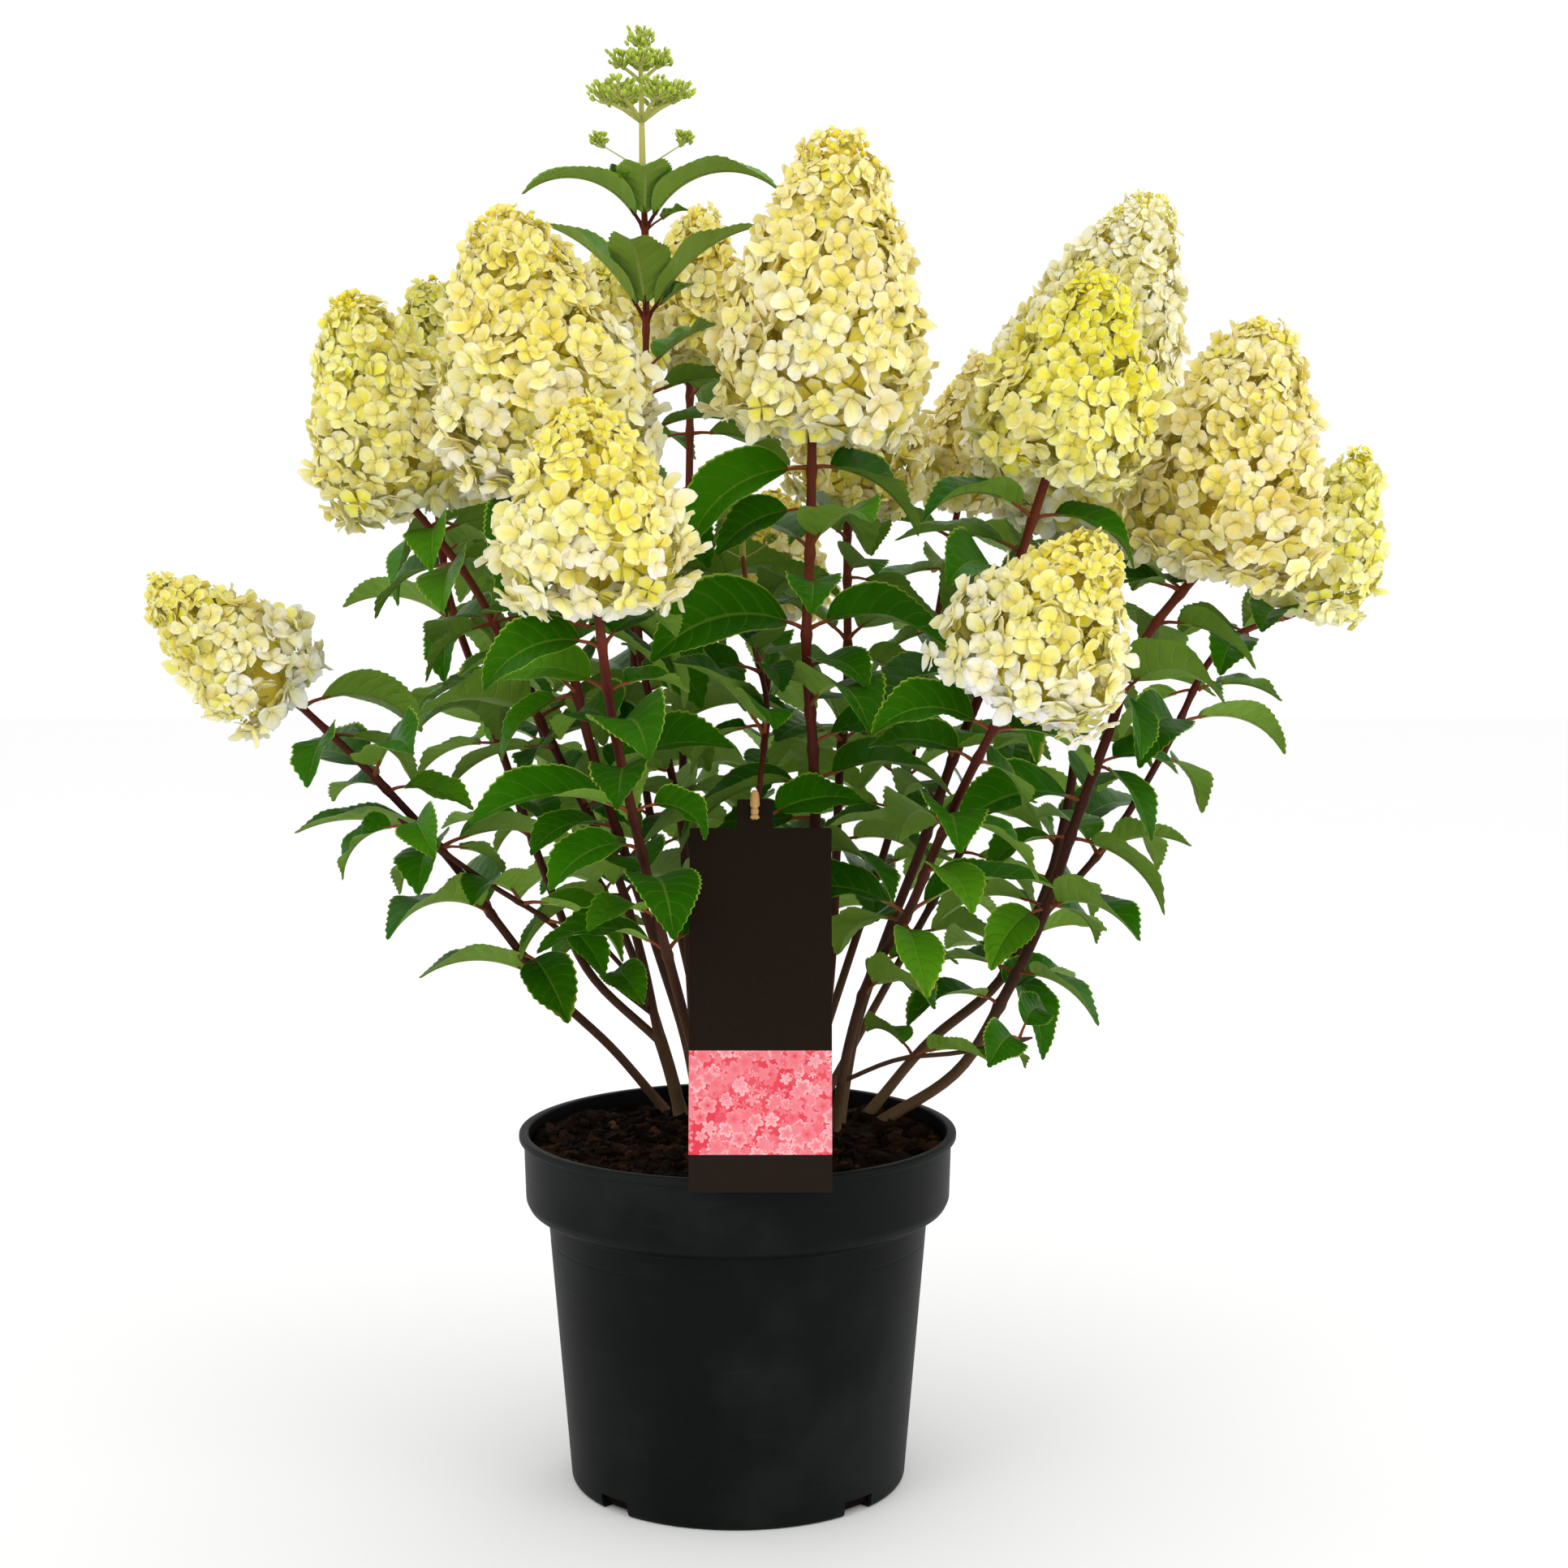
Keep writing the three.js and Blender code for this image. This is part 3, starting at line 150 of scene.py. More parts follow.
SHOOTS = (
    ShootPlan("cane_centre", 4.6, 3, (0.42, 0.95), 6, 196, 97, (
        (44, 8, 203), (47, -8, 281), (46, -30, 366), (46, -42, 406), (43, -56, 455), (40, -68, 500),
        (42, -75, 540), (42, -80, 581), (43, -82, 622),
    ), HeadPlan("panicle_centre", (59, -83, 783), 59, (0.94, 0.82, 0.35), (0.96, 0.88, 0.57))),
    ShootPlan("cane_front_left", 4.2, 2.8, (0.42, 0.93), 5, 15, 92, (
        (-15, -8, 203), (-21, -40, 248), (-29, -70, 291), (-39, -100, 336), (-49, -132, 391),
        (-59, -155, 441), (-63, -165, 467), (-67, -176, 505), (-70, -180, 531),
    ), HeadPlan("panicle_front_left", (-76, -186, 633), 52, (0.94, 0.83, 0.18), (1.0, 0.96, 0.82))),
    ShootPlan("cane_right_front", 4.2, 2.7, (0.3, 0.93), 4, 10, 90, (
        (58, 24, 203), (62, 12, 236), (69, -8, 275), (83, -34, 321), (102, -68, 356), (115, -102, 402),
        (128, -126, 434), (139, -145, 462), (148, -150, 478),
    ), HeadPlan("panicle_right_front", (193, -157, 563), 49, (0.9, 0.82, 0.19), (1.0, 0.97, 0.84))),
    ShootPlan("cane_right_front", 1.9, 1.6, (0.42, 0.97), 2, 60, 62, (
        (62, 12, 236), (91, -4, 252), (120, -20, 259), (147, -32, 265), (167, -40, 272),
    )),
    ShootPlan("cane_low_left", 3.9, 2.4, (0.36, 0.97), 5, 20, 90, (
        (-47, 84, 203), (-62, 70, 230), (-78, 54, 248), (-101, 34, 274), (-124, 10, 307), (-149, -16, 349),
        (-164, -30, 374), (-181, -40, 395), (-205, -48, 424), (-235, -56, 457), (-253, -60, 474),
    ), HeadPlan("panicle_low_left", (-326, -76, 536), 35, (0.84, 0.8, 0.24), (1.0, 0.96, 0.8))),
    ShootPlan("cane_far_right", 4.8, 3, (0.27, 0.95), 5, 40, 94, (
        (88, 52, 203), (106, 46, 214), (139, 38, 243), (161, 25, 287), (177, 14, 321), (192, 4, 373),
        (207, 0, 414), (220, 0, 452), (234, 0, 491), (252, 0, 527), (273, 0, 545),
    ), HeadPlan("panicle_far_right", (307, -5, 685), 61, (0.95, 0.83, 0.43), (0.93, 0.82, 0.46))),
    ShootPlan("cane_far_right", 3, 2.2, (0.2, 0.93), 3, 100, 83, (
        (182, 10, 337), (216, 30, 370), (233, 38, 392), (253, 46, 424), (269, 50, 452), (298, 58, 503),
        (320, 60, 522), (347, 62, 518),
    ), HeadPlan("panicle_outer_right", (378, 62, 612), 33, (0.99, 0.96, 0.34), (0.95, 0.91, 0.48))),
    ShootPlan("cane_right_mid", 4.2, 3, (0.45, 0.93), 5, 0, 92, (
        (62, 60, 203), (70, 58, 254), (89, 46, 316), (109, 26, 373), (123, 4, 419), (132, -10, 449),
        (144, -20, 478), (154, -34, 516), (161, -44, 549), (169, -54, 583), (176, -60, 600),
    ), HeadPlan("panicle_right_mid", (204, -66, 707), 49, (0.8, 0.79, 0.05), (0.93, 0.9, 0.42))),
    ShootPlan("cane_left", 5.2, 4.6, (0, 0), 0, 0, 0, (
        (-36, 62, 203), (-42, 56, 231), (-49, 48, 257),
    )),
    ShootPlan("cane_left", 3.8, 2.6, (0.28, 0.94), 5, 25, 92, (
        (-49, 48, 255), (-53, 38, 277), (-63, 14, 335), (-77, 0, 377), (-94, -10, 413), (-107, -16, 442),
        (-128, -22, 484), (-145, -25, 522), (-167, -27, 562), (-186, -28, 580),
    ), HeadPlan("panicle_left", (-221, -28, 700), 47, (0.95, 0.91, 0.3), (0.96, 0.9, 0.56))),
    ShootPlan("cane_left", 3.7, 2.6, (0.4, 0.95), 4, 70, 90, (
        (-49, 48, 254), (-78, 58, 272), (-103, 68, 313), (-122, 78, 357), (-136, 86, 393), (-151, 94, 440),
        (-168, 102, 483), (-182, 108, 526), (-189, 112, 559), (-189, 116, 588),
    ), HeadPlan("panicle_left_back", (-192, 118, 719), 41, (0.66, 0.68, 0.15), (0.86, 0.8, 0.38))),
    ShootPlan("cane_left", 2.3, 1.7, (0.24, 0.98), 3, 110, 74, (
        (-51, 44, 270), (-75, 12, 296), (-97, -18, 325), (-115, -38, 347), (-131, -52, 362),
        (-145, -62, 369), (-158, -70, 379), (-171, -78, 391), (-184, -86, 403),
    )),
    ShootPlan("cane_left", 2, 1.7, (0, 0), 0, 0, 0, (
        (-49, 47, 262), (-60, 58, 283), (-82, 76, 305), (-103, 94, 331),
    )),
    ShootPlan("cane_tall", 3.6, 2, (0.25, 0.77), 4, 150, 90, (
        (-24, 46, 203), (-30, 35, 298), (-32, 22, 373), (-38, 14, 418), (-49, 6, 457), (-56, 0, 489),
        (-59, -4, 525), (-56, -4, 591), (-52, 0, 684), (-53, 0, 735), (-54, 0, 775),
    ), HeadPlan("panicle_bud_tall", (-55, 0, 855), 31, bud=True), whorls=(
        (0.985, (195, -12, -92), 86), (0.915, (168, 22, -84), 86),
    )),
    ShootPlan("cane_left_mid", 4, 3, (0.45, 0.95), 5, 35, 92, (
        (-22, 22, 203), (-33, 4, 272), (-46, -16, 318), (-56, -30, 353), (-66, -44, 388), (-75, -54, 418),
        (-84, -62, 451), (-93, -70, 500), (-97, -76, 550), (-96, -80, 597),
    ), HeadPlan("panicle_left_mid", (-129, -78, 741), 60, (0.93, 0.83, 0.27), (0.99, 0.94, 0.74))),
    ShootPlan("cane_inner_bud", 2.4, 1.7, (0.52, 0.94), 4, 170, 80, (
        (8, -30, 203), (11, -60, 290), (12, -77, 362), (12, -82, 409), (17, -70, 440), (18, -45, 465),
        (11, -14, 491), (6, 16, 524), (3, 30, 550),
    ), HeadPlan("panicle_bud_inner", (2, 32, 606), 22, bud=True)),
    ShootPlan("cane_behind_centre", 4, 2.8, (0.45, 0.94), 4, 60, 92, (
        (37, 42, 203), (52, 54, 259), (59, 70, 332), (60, 80, 375), (63, 95, 430), (68, 108, 490),
        (66, 118, 552), (67, 120, 582),
    ), HeadPlan("panicle_behind_centre", (93, 121, 684), 39, (0.9, 0.78, 0.36), (0.93, 0.82, 0.44))),
    ShootPlan("cane_right_back", 4.4, 3, (0.3, 0.94), 4, 30, 92, (
        (79, 68, 203), (104, 76, 234), (138, 82, 265), (166, 86, 289), (189, 94, 334), (205, 106, 389),
        (215, 118, 464), (218, 126, 520), (219, 130, 564),
    ), HeadPlan("panicle_right_back", (257, 131, 772), 66, (1.05, 0.98, 0.72), (1.0, 0.94, 0.74), lean=20)),
    ShootPlan("cane_back_mid", 3.9, 2.7, (0.4, 0.95), 3, 80, 92, (
        (-14, 72, 203), (-29, 104, 286), (-35, 134, 386), (-38, 148, 448), (-35, 160, 540), (-33, 168, 619),
        (-33, 170, 672),
    ), HeadPlan("panicle_back_mid", (-26, 171, 768), 38, (0.86, 0.78, 0.3), (0.91, 0.82, 0.44))),
    ShootPlan("cane_back_left", 3.8, 2.6, (0.35, 0.95), 4, 120, 92, (
        (-19, 94, 203), (-33, 140, 280), (-61, 180, 380), (-72, 206, 485), (-75, 224, 592), (-79, 230, 678),
    ), HeadPlan("panicle_back_left", (-91, 231, 748), 33, (0.7, 0.68, 0.15), (0.86, 0.8, 0.36))),
    ShootPlan("cane_back_right", 3.8, 2.5, (0.35, 0.94), 4, 10, 92, (
        (37, 84, 203), (66, 132, 281), (101, 176, 381), (121, 205, 459), (135, 220, 539), (144, 225, 583),
    ), HeadPlan("panicle_back_right", (158, 227, 678), 31, (0.92, 0.8, 0.46), (0.94, 0.84, 0.52))),
    ShootPlan("cane_rear_left", 3.8, 2.6, (0.35, 0.94), 3, 50, 92, (
        (-39, 100, 203), (-65, 142, 280), (-115, 190, 379), (-145, 212, 478), (-156, 222, 548),
        (-158, 226, 590),
    ), HeadPlan("panicle_rear_left", (-161, 230, 676), 37, (0.8, 0.7, 0.2), (0.92, 0.83, 0.54))),
    ShootPlan("cane_rear_centre", 3.6, 2.4, (0.38, 0.94), 3, 95, 87, (
        (9, 94, 203), (8, 150, 292), (12, 206, 384), (16, 240, 452), (18, 254, 508),
    ), HeadPlan("panicle_rear_centre", (20, 262, 590), 38, (0.78, 0.7, 0.18), (0.94, 0.86, 0.62))),
    ShootPlan("cane_rear_right", 3.7, 2.4, (0.4, 0.93), 3, 140, 87, (
        (50, 96, 203), (104, 150, 289), (156, 192, 375), (186, 212, 432), (196, 220, 468),
    ), HeadPlan("panicle_rear_right", (206, 226, 548), 38, (0.84, 0.72, 0.24), (0.94, 0.84, 0.58))),
)

# The tall shoot's upper leaves: the height of the root, the way, length, rise, bend and youth of each
TALL_LEAVES = (
    (735, 183, 90, 74, 110, 1), (735, -5, 98, 74, 110, 1), (735, -88, 70, 80, 92, 1),
    (737, 20, 30, 44, 20, 0.5), (684, 172, 90, 68, 46, 1), (684, 6, 92, 68, 50, 1),
    (684, -96, 82, 80, 84, 1), (687, 24, 38, 52, 26, 0.5), (656, 40, 62, 50, 40, 0.6),
    (771, 160, 26, 30, 70, 0.6), (771, 240, 27, 22, 70, 0.6), (771, 60, 22, 26, 60, 0.6),
)


def lerp(a, b, share):
    return a + (b - a) * share


def smooth(share):
    share = np.clip(share, 0, 1)
    return share * share * (3 - 2 * share)


def unit(vector):
    return vector / np.linalg.norm(vector, axis=-1, keepdims=True)


def chance(a, b, c):
    """A number from 0 to 1 that is always the same for the same place on the plant."""
    value = math.sin(a * 127.1 + b * 311.7 + c * 74.7) * 43758.5453
    return value - math.floor(value)


def spread(a, b, c, reach):
    return (chance(a, b, c) * 2 - 1) * reach


# Meshes

def mesh_of(name, points, edges=(), faces=()):
    """A mesh from points in millimetres."""
    mesh = bpy.data.meshes.new(name)
    mesh.from_pydata((np.asarray(points, float) * MM).tolist(), list(edges), list(faces))
    mesh.update()
    return mesh


def add_attribute(mesh, name, kind, values, domain="POINT"):
    key = {"FLOAT": "value", "INT": "value", "FLOAT_VECTOR": "vector", "FLOAT_COLOR": "color"}[kind]
    attribute = mesh.attributes.new(name, kind, domain)
    attribute.data.foreach_set(key, np.asarray(values).ravel())


def smooth_shaded(mesh, sharp=None):
    """The mesh with smooth shading, and with sharp edges where it bends by more than this many degrees."""
    mesh.shade_smooth()
    if sharp:
        mesh.set_sharp_from_angle(angle=math.radians(sharp))
    return mesh


def points_of(mesh):
    points = np.zeros(len(mesh.vertices) * 3)
    mesh.vertices.foreach_get("co", points)
    return points.reshape(-1, 3)


def add_uv(mesh, places):
    """Gives each corner of a face the place that belongs to its point."""
    corners = np.zeros(len(mesh.loops), int)
    mesh.loops.foreach_get("vertex_index", corners)
    mesh.uv_layers.new(name="UVMap").data.foreach_set("uv", places[corners].ravel())


def evaluated(holder):
    """The mesh that an object's modifiers or its curve make."""
    graph = bpy.context.evaluated_depsgraph_get()
    return bpy.data.meshes.new_from_object(holder.evaluated_get(graph), depsgraph=graph)


def object_of(name, mesh, *materials):
    for material in materials:
        mesh.materials.append(material)
    made = bpy.data.objects.new(name, mesh)
    bpy.context.scene.collection.objects.link(made)
    return made


def finished(piece, slot, *nodes):
    """A finished piece rides on the plant's one body and stands for its solids."""
    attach(piece, "root")
    if nodes:
        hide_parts(*nodes)
    return piece


def discard(*objects):
    for leftover in objects:
        mesh = leftover.data
        bpy.data.objects.remove(leftover)
        if mesh.users == 0:
            bpy.data.meshes.remove(mesh)


class Strip:
    """Collects the points, the faces and the point values of one mesh."""

    def __init__(self):
        self.points = []
        self.faces = []
        self.values = {}
        self.face_values = {}
        self.count = 0

    def add(self, points, faces, values=None, face_values=None):
        points = np.asarray(points, float).reshape(-1, 3)
        self.faces.extend(tuple(corner + self.count for corner in face) for face in faces)
        self.points.append(points)
        for name, value in (values or {}).items():
            width = np.shape(value)[-1] if np.ndim(value) > 1 else 1
            filled = np.broadcast_to(np.asarray(value, float).reshape(-1, width), (len(points), width))
            self.values.setdefault(name, []).append(filled)
        for name, value in (face_values or {}).items():
            filled = np.broadcast_to(np.asarray(value, float), (len(faces),))
            self.face_values.setdefault(name, []).append(filled)
        self.count += len(points)

    def mesh(self, name):
        mesh = mesh_of(name, np.vstack(self.points), (), self.faces)
        for label, parts in self.values.items():
            if label == "UVMap":
                add_uv(mesh, np.vstack(parts))
            else:
                add_attribute(mesh, label, "FLOAT", np.vstack(parts))
        for label, parts in self.face_values.items():
            add_attribute(mesh, label, "FLOAT", np.concatenate(parts), "FACE")
        return smooth_shaded(mesh, THIN_EDGE)


def ring_points(radius, sides, heights):
    """A level ring, or one whose heights are given point by point."""
    angles = np.arange(sides) * 2 * math.pi / sides
    x, y = radius * np.cos(angles), radius * np.sin(angles)
    return np.stack([x, y, np.broadcast_to(heights, x.shape)], axis=-1)


def ring_faces(rings, sides):
    """The faces between rings of points that lie one after another."""
    faces = []
    for ring in range(rings - 1):
        for side in range(sides):
            a, b = ring * sides + side, ring * sides + (side + 1) % sides
            faces.append((a, b, b + sides, a + sides))
    return faces


def closed_rings(rings, sides):
    """The faces of a closed body: its rings, then the middle of its foot and the middle of its top."""
    faces = ring_faces(rings, sides)
    last, foot = (rings - 1) * sides, rings * sides
    for side in range(sides):
        after = (side + 1) % sides
        faces += [(foot, after, side), (last + side, last + after, foot + 1)]
    return faces


def lathe(profile, sides):
    """The points and the faces of a turned body. The profile runs from its foot's middle to its top's."""
    rings = [ring_points(radius, sides, height) for radius, height in profile[1:-1]]
    points = np.vstack([*rings, [(0, 0, profile[0][1]), (0, 0, profile[-1][1])]])
    return points, closed_rings(len(rings), sides)


# Node trees

class Nodes:
    """A node tree that is written as calls: each call adds a node, its settings first, then its inputs."""

    def __init__(self, tree):
        self.tree = tree

    def node(self, kind, settings=None, inputs=None):
        made = self.tree.nodes.new(kind)
        for name, value in (settings or {}).items():
            setattr(made, name, value)
        for name, value in (inputs or {}).items():
            self.feed(made.inputs[name], value)
        return made

    def feed(self, socket, value):
        if isinstance(value, Value):
            value = value.socket
        if isinstance(value, bpy.types.NodeSocket):
            self.tree.links.new(value, socket)
        else:
            socket.default_value = value


class Value:
    """A number that varies over a surface. An expression on it adds its Math nodes."""

    def __init__(self, nodes, socket):
        self.nodes = nodes
        self.socket = socket

    def math(self, operation, *others, clamp=False):
        settings = {"operation": operation, "use_clamp": clamp}
        inputs = dict(enumerate((self, *others)))
        made = self.nodes.node("ShaderNodeMath", settings, inputs)
        return Value(self.nodes, made.outputs[0])

    def reflected(self, operation, other):
        made = self.nodes.node("ShaderNodeMath", {"operation": operation}, {0: other, 1: self})
        return Value(self.nodes, made.outputs[0])

    def __add__(self, other):
        return self.math("ADD", other)

    def __sub__(self, other):
        return self.math("SUBTRACT", other)

    def __mul__(self, other):
        return self.math("MULTIPLY", other)

    def __truediv__(self, other):
        return self.math("DIVIDE", other)

    def __pow__(self, other):
        return self.math("POWER", other)

    def __radd__(self, other):
        return self.math("ADD", other)

    def __rmul__(self, other):
        return self.math("MULTIPLY", other)

    def __rsub__(self, other):
        return self.reflected("SUBTRACT", other)

    def clamped(self):
        return self.math("ADD", 0.0, clamp=True)

    def between(self, low, high):
        """0 at low and 1 at high, with a smooth step between them. It falls where high is the lower."""
        settings = {"interpolation_type": "SMOOTHSTEP"}
        if low < high:
            limits = {"From Min": low, "From Max": high, "To Min": 0.0, "To Max": 1.0}
        else:
            limits = {"From Min": high, "From Max": low, "To Min": 1.0, "To Max": 0.0}
        made = self.nodes.node("ShaderNodeMapRange", settings, {"Value": self, **limits})
        return Value(self.nodes, made.outputs["Result"])


class Finish(Nodes):
    """A material with one Principled surface."""

    def __init__(self, name, **constants):
        self.material = bpy.data.materials.new(name)
        self.material.use_nodes = True
        super().__init__(self.material.node_tree)
        self.shader = self.tree.nodes["Principled BSDF"]
        for label, value in constants.items():
            self.shader.inputs[label.replace("_", " ")].default_value = value
        self.place = self.node("ShaderNodeTexCoord")

    def object_place(self, scale):
        made = self.node("ShaderNodeMapping", None, {"Vector": self.place.outputs["Object"], "Scale": scale})
        return made.outputs["Vector"]

    def uv(self):
        made = self.node("ShaderNodeSeparateXYZ", None, {"Vector": self.place.outputs["UV"]})
        return Value(self, made.outputs["X"]), Value(self, made.outputs["Y"])

    def attribute(self, name):
        return Value(self, self.node("ShaderNodeAttribute", {"attribute_name": name}).outputs["Fac"])

    def colour_attribute(self, name):
        return self.node("ShaderNodeAttribute", {"attribute_name": name}).outputs["Color"]

    def noise(self, scale, detail=3.0, roughness=0.5, place=None):
        place = place or self.place.outputs["Object"]
        inputs = {"Vector": place, "Scale": scale, "Detail": detail, "Roughness": roughness}
        return Value(self, self.node("ShaderNodeTexNoise", None, inputs).outputs["Fac"])

    def cells(self, scale, feature="F1", place=None):
        inputs = {"Vector": place or self.place.outputs["Object"], "Scale": scale}
        made = self.node("ShaderNodeTexVoronoi", {"feature": feature}, inputs)
        return Value(self, made.outputs["Distance"])

    def mix(self, first, second, factor):
        made = self.node("ShaderNodeMix", {"data_type": "RGBA"})
        self.feed(made.inputs["Factor"], factor)
        for socket, colour in zip((made.inputs[6], made.inputs[7]), (first, second)):
            self.feed(socket, (*colour, 1.0) if isinstance(colour, tuple) else colour)
        return made.outputs[2]

    def ramp(self, value, *stops):
        made = self.node("ShaderNodeValToRGB", None, {"Fac": value})
        elements = made.color_ramp.elements
        for _ in stops[2:]:
            elements.new(0.5)
        for element, (position, colour) in zip(elements, stops):
            element.position = position
            element.color = (*colour, 1.0)
        return made.outputs["Color"]

    def bump(self, height, distance, strength=1.0):
        inputs = {"Height": height, "Distance": distance, "Strength": strength}
        self.feed(self.shader.inputs["Normal"], self.node("ShaderNodeBump", None, inputs).outputs["Normal"])

    def surface(self, **inputs):
        for label, value in inputs.items():
            self.feed(self.shader.inputs[label.replace("_", " ")], value)
        return self.material


def shown(sockets, name=None):
    """The socket that a node shows for its data type, out of those that share a name."""
    return next(socket for socket in sockets if socket.enabled and name in (None, socket.name))


class Growth(Nodes):
    """A Geometry Nodes tree with named inputs, which makes a plain mesh of a source mesh."""

    def __init__(self, name, inputs):
        super().__init__(bpy.data.node_groups.new(name, "GeometryNodeTree"))
        self.sockets = {}
        shared = {"Finish": "Material", "Joined": "Object", "Flagged finish": "Material"}
        for label, kind in {"Source": "Geometry", **inputs, **shared}.items():
            self.sockets[label] = self.tree.interface.new_socket(
                label, in_out="INPUT", socket_type="NodeSocket" + kind)
        self.tree.interface.new_socket("Result", in_out="OUTPUT", socket_type="NodeSocketGeometry")
        self.given = self.node("NodeGroupInput").outputs

    def named(self, name, kind="FLOAT"):
        made = self.node("GeometryNodeInputNamedAttribute", {"data_type": kind}, {"Name": name})
        return made.outputs["Attribute"]

    def choice(self, kinds):
        """The numbered shapes side by side, of which each point picks one."""
        joined = self.node("GeometryNodeJoinGeometry")
        for kind in reversed(range(kinds)):
            shape = self.node("GeometryNodeObjectInfo", None, {"Object": self.given[f"Shape {kind + 1}"]})
            single = self.node("GeometryNodeGeometryToInstance", None, {0: shape.outputs["Geometry"]})
            self.feed(joined.inputs[0], single.outputs[0])
        return joined.outputs[0]

    def random(self, kind, limits):
        """A value of each point's own between the limits."""
        made = self.node("FunctionNodeRandomValue", {"data_type": kind})
        for label, value in limits.items():
            self.feed(shown(made.inputs, label), value)
        return shown(made.outputs)

    def ends(self, geometry):
        """The end of each tree: what is joined on comes in, and each face gets its finish."""
        extra = self.node("GeometryNodeObjectInfo", None, {"Object": self.given["Joined"]})
        both = self.node("GeometryNodeJoinGeometry")
        for part in (extra.outputs["Geometry"], geometry):
            self.tree.links.new(part, both.inputs[0])
        whole = self.node("GeometryNodeRealizeInstances", None, {"Geometry": both.outputs[0]})
        painted = self.node("GeometryNodeSetMaterial", None, {
            "Geometry": whole.outputs[0], "Material": self.given["Finish"],
        })
        flagged = self.node("FunctionNodeCompare", {"data_type": "FLOAT", "operation": "GREATER_THAN"}, {
            0: self.named("flagged"), 1: 0.5,
        })
        last = self.node("GeometryNodeSetMaterial", None, {
            "Geometry": painted.outputs[0], "Selection": flagged.outputs[0],
            "Material": self.given["Flagged finish"],
        })
        self.node("NodeGroupOutput", None, {"Result": last.outputs[0]})

    def grow(self, name, source, values):
        """The mesh that the tree makes of the source."""
        holder = object_of(name, source)
        modifier = holder.modifiers.new("Growth", "NODES")
        modifier.node_group = self.tree
        for label, value in values.items():
            modifier[self.sockets[label].identifier] = value
        holder.update_tag()
        made = evaluated(holder)
        holder.modifiers.remove(modifier)
        discard(holder)
        for leftover in ("turn", "size", "kind", "radius", "flagged"):
            if leftover in made.attributes:
                made.attributes.remove(made.attributes[leftover])
        return smooth_shaded(made)


def stalks_tree():
    """Round stalks along the edges of the source, as thick as its radius attribute says."""
    tree = Growth("Stalks", {"Sides": "Int"})
    curve = tree.node("GeometryNodeMeshToCurve", None, {"Mesh": tree.given["Source"]})
    ring_inputs = {"Resolution": tree.given["Sides"], "Radius": 1.0}
    ring = tree.node("GeometryNodeCurvePrimitiveCircle", None, ring_inputs)
    stalk = tree.node("GeometryNodeCurveToMesh", None, {
        "Curve": curve.outputs[0],
        "Profile Curve": ring.outputs[0],
        "Scale": tree.named("radius"),
        "Fill Caps": True,
    })
    tree.ends(stalk.outputs[0])
    return tree


def shape_inputs(kinds):
    return {f"Shape {kind + 1}": "Object" for kind in range(kinds)}


def clusters_tree(kinds):
    """One of several small shapes on each point, turned, sized and picked by the point's attributes."""
    tree = Growth("Clusters", shape_inputs(kinds))
    placed = tree.node("GeometryNodeInstanceOnPoints", None, {
        "Points": tree.given["Source"],
        "Instance": tree.choice(kinds),
        "Pick Instance": True,
        "Instance Index": tree.named("kind", "INT"),
        "Rotation": tree.named("turn", "FLOAT_VECTOR"),
        "Scale": tree.named("size"),
    })
    tree.ends(placed.outputs[0])
    return tree


def scatter_tree(kinds):
    """Chips strewn over the source's faces, which lie flat or tilt a little."""
    floats = dict.fromkeys(("Density", "Smallest", "Largest", "Tilt"), "Float")
    tree = Growth("Strewn chips", {**shape_inputs(kinds), **floats, "Seed": "Int"})
    seed, tilt = tree.given["Seed"], tree.given["Tilt"]
    points = tree.node("GeometryNodeDistributePointsOnFaces", {"distribute_method": "RANDOM"}, {
        "Mesh": tree.given["Source"], "Density": tree.given["Density"], "Seed": seed,
    })
    size = tree.random("FLOAT", {"Min": tree.given["Smallest"], "Max": tree.given["Largest"], "Seed": seed})
    minus = tree.node("ShaderNodeMath", {"operation": "MULTIPLY"}, {0: tilt, 1: -1.0}).outputs[0]
    low = tree.node("ShaderNodeCombineXYZ", None, {"X": minus, "Y": minus})
    high = tree.node("ShaderNodeCombineXYZ", None, {"X": tilt, "Y": tilt, "Z": 2 * math.pi})
    turn = tree.random("FLOAT_VECTOR", {"Min": low.outputs[0], "Max": high.outputs[0], "Seed": seed})
    kept = tree.node("GeometryNodeStoreNamedAttribute", {"data_type": "FLOAT", "domain": "POINT"}, {
        "Geometry": points.outputs["Points"], "Name": "tint",
        "Value": tree.random("FLOAT", {"Seed": TINT_SEED}),
    })
    placed = tree.node("GeometryNodeInstanceOnPoints", None, {
        "Points": kept.outputs[0],
        "Instance": tree.choice(kinds),
        "Pick Instance": True,
        "Rotation": turn,
        "Scale": size,
    })
    tree.ends(placed.outputs[0])
    return tree


# Shoots

def smooth_line(points, steps):
    """An even curve through the points, with a number of steps for each of its spans."""
    points = np.asarray(points, float)
    ends = np.vstack([2 * points[0] - points[1], points, 2 * points[-1] - points[-2]])
    line = []
    for span in range(len(points) - 1):
        a, b, c, d = ends[span:span + 4]
        for step in range(steps):
            t = step / steps
            line.append(0.5 * (
                2 * b + (c - a) * t + (2 * a - 5 * b + 4 * c - d) * t ** 2
                + (3 * b - 3 * c + d - a) * t ** 3
            ))
    line.append(points[-1])
    return np.array(line)


def lengths_of(line):
    return np.concatenate([[0], np.cumsum(np.linalg.norm(np.diff(line, axis=0), axis=1))])


def along(line, share):
    """The point at a share of the line's length."""
    lengths = lengths_of(line)
    wanted = share * lengths[-1]
    return np.array([np.interp(wanted, lengths, line[:, axis]) for axis in range(3)])


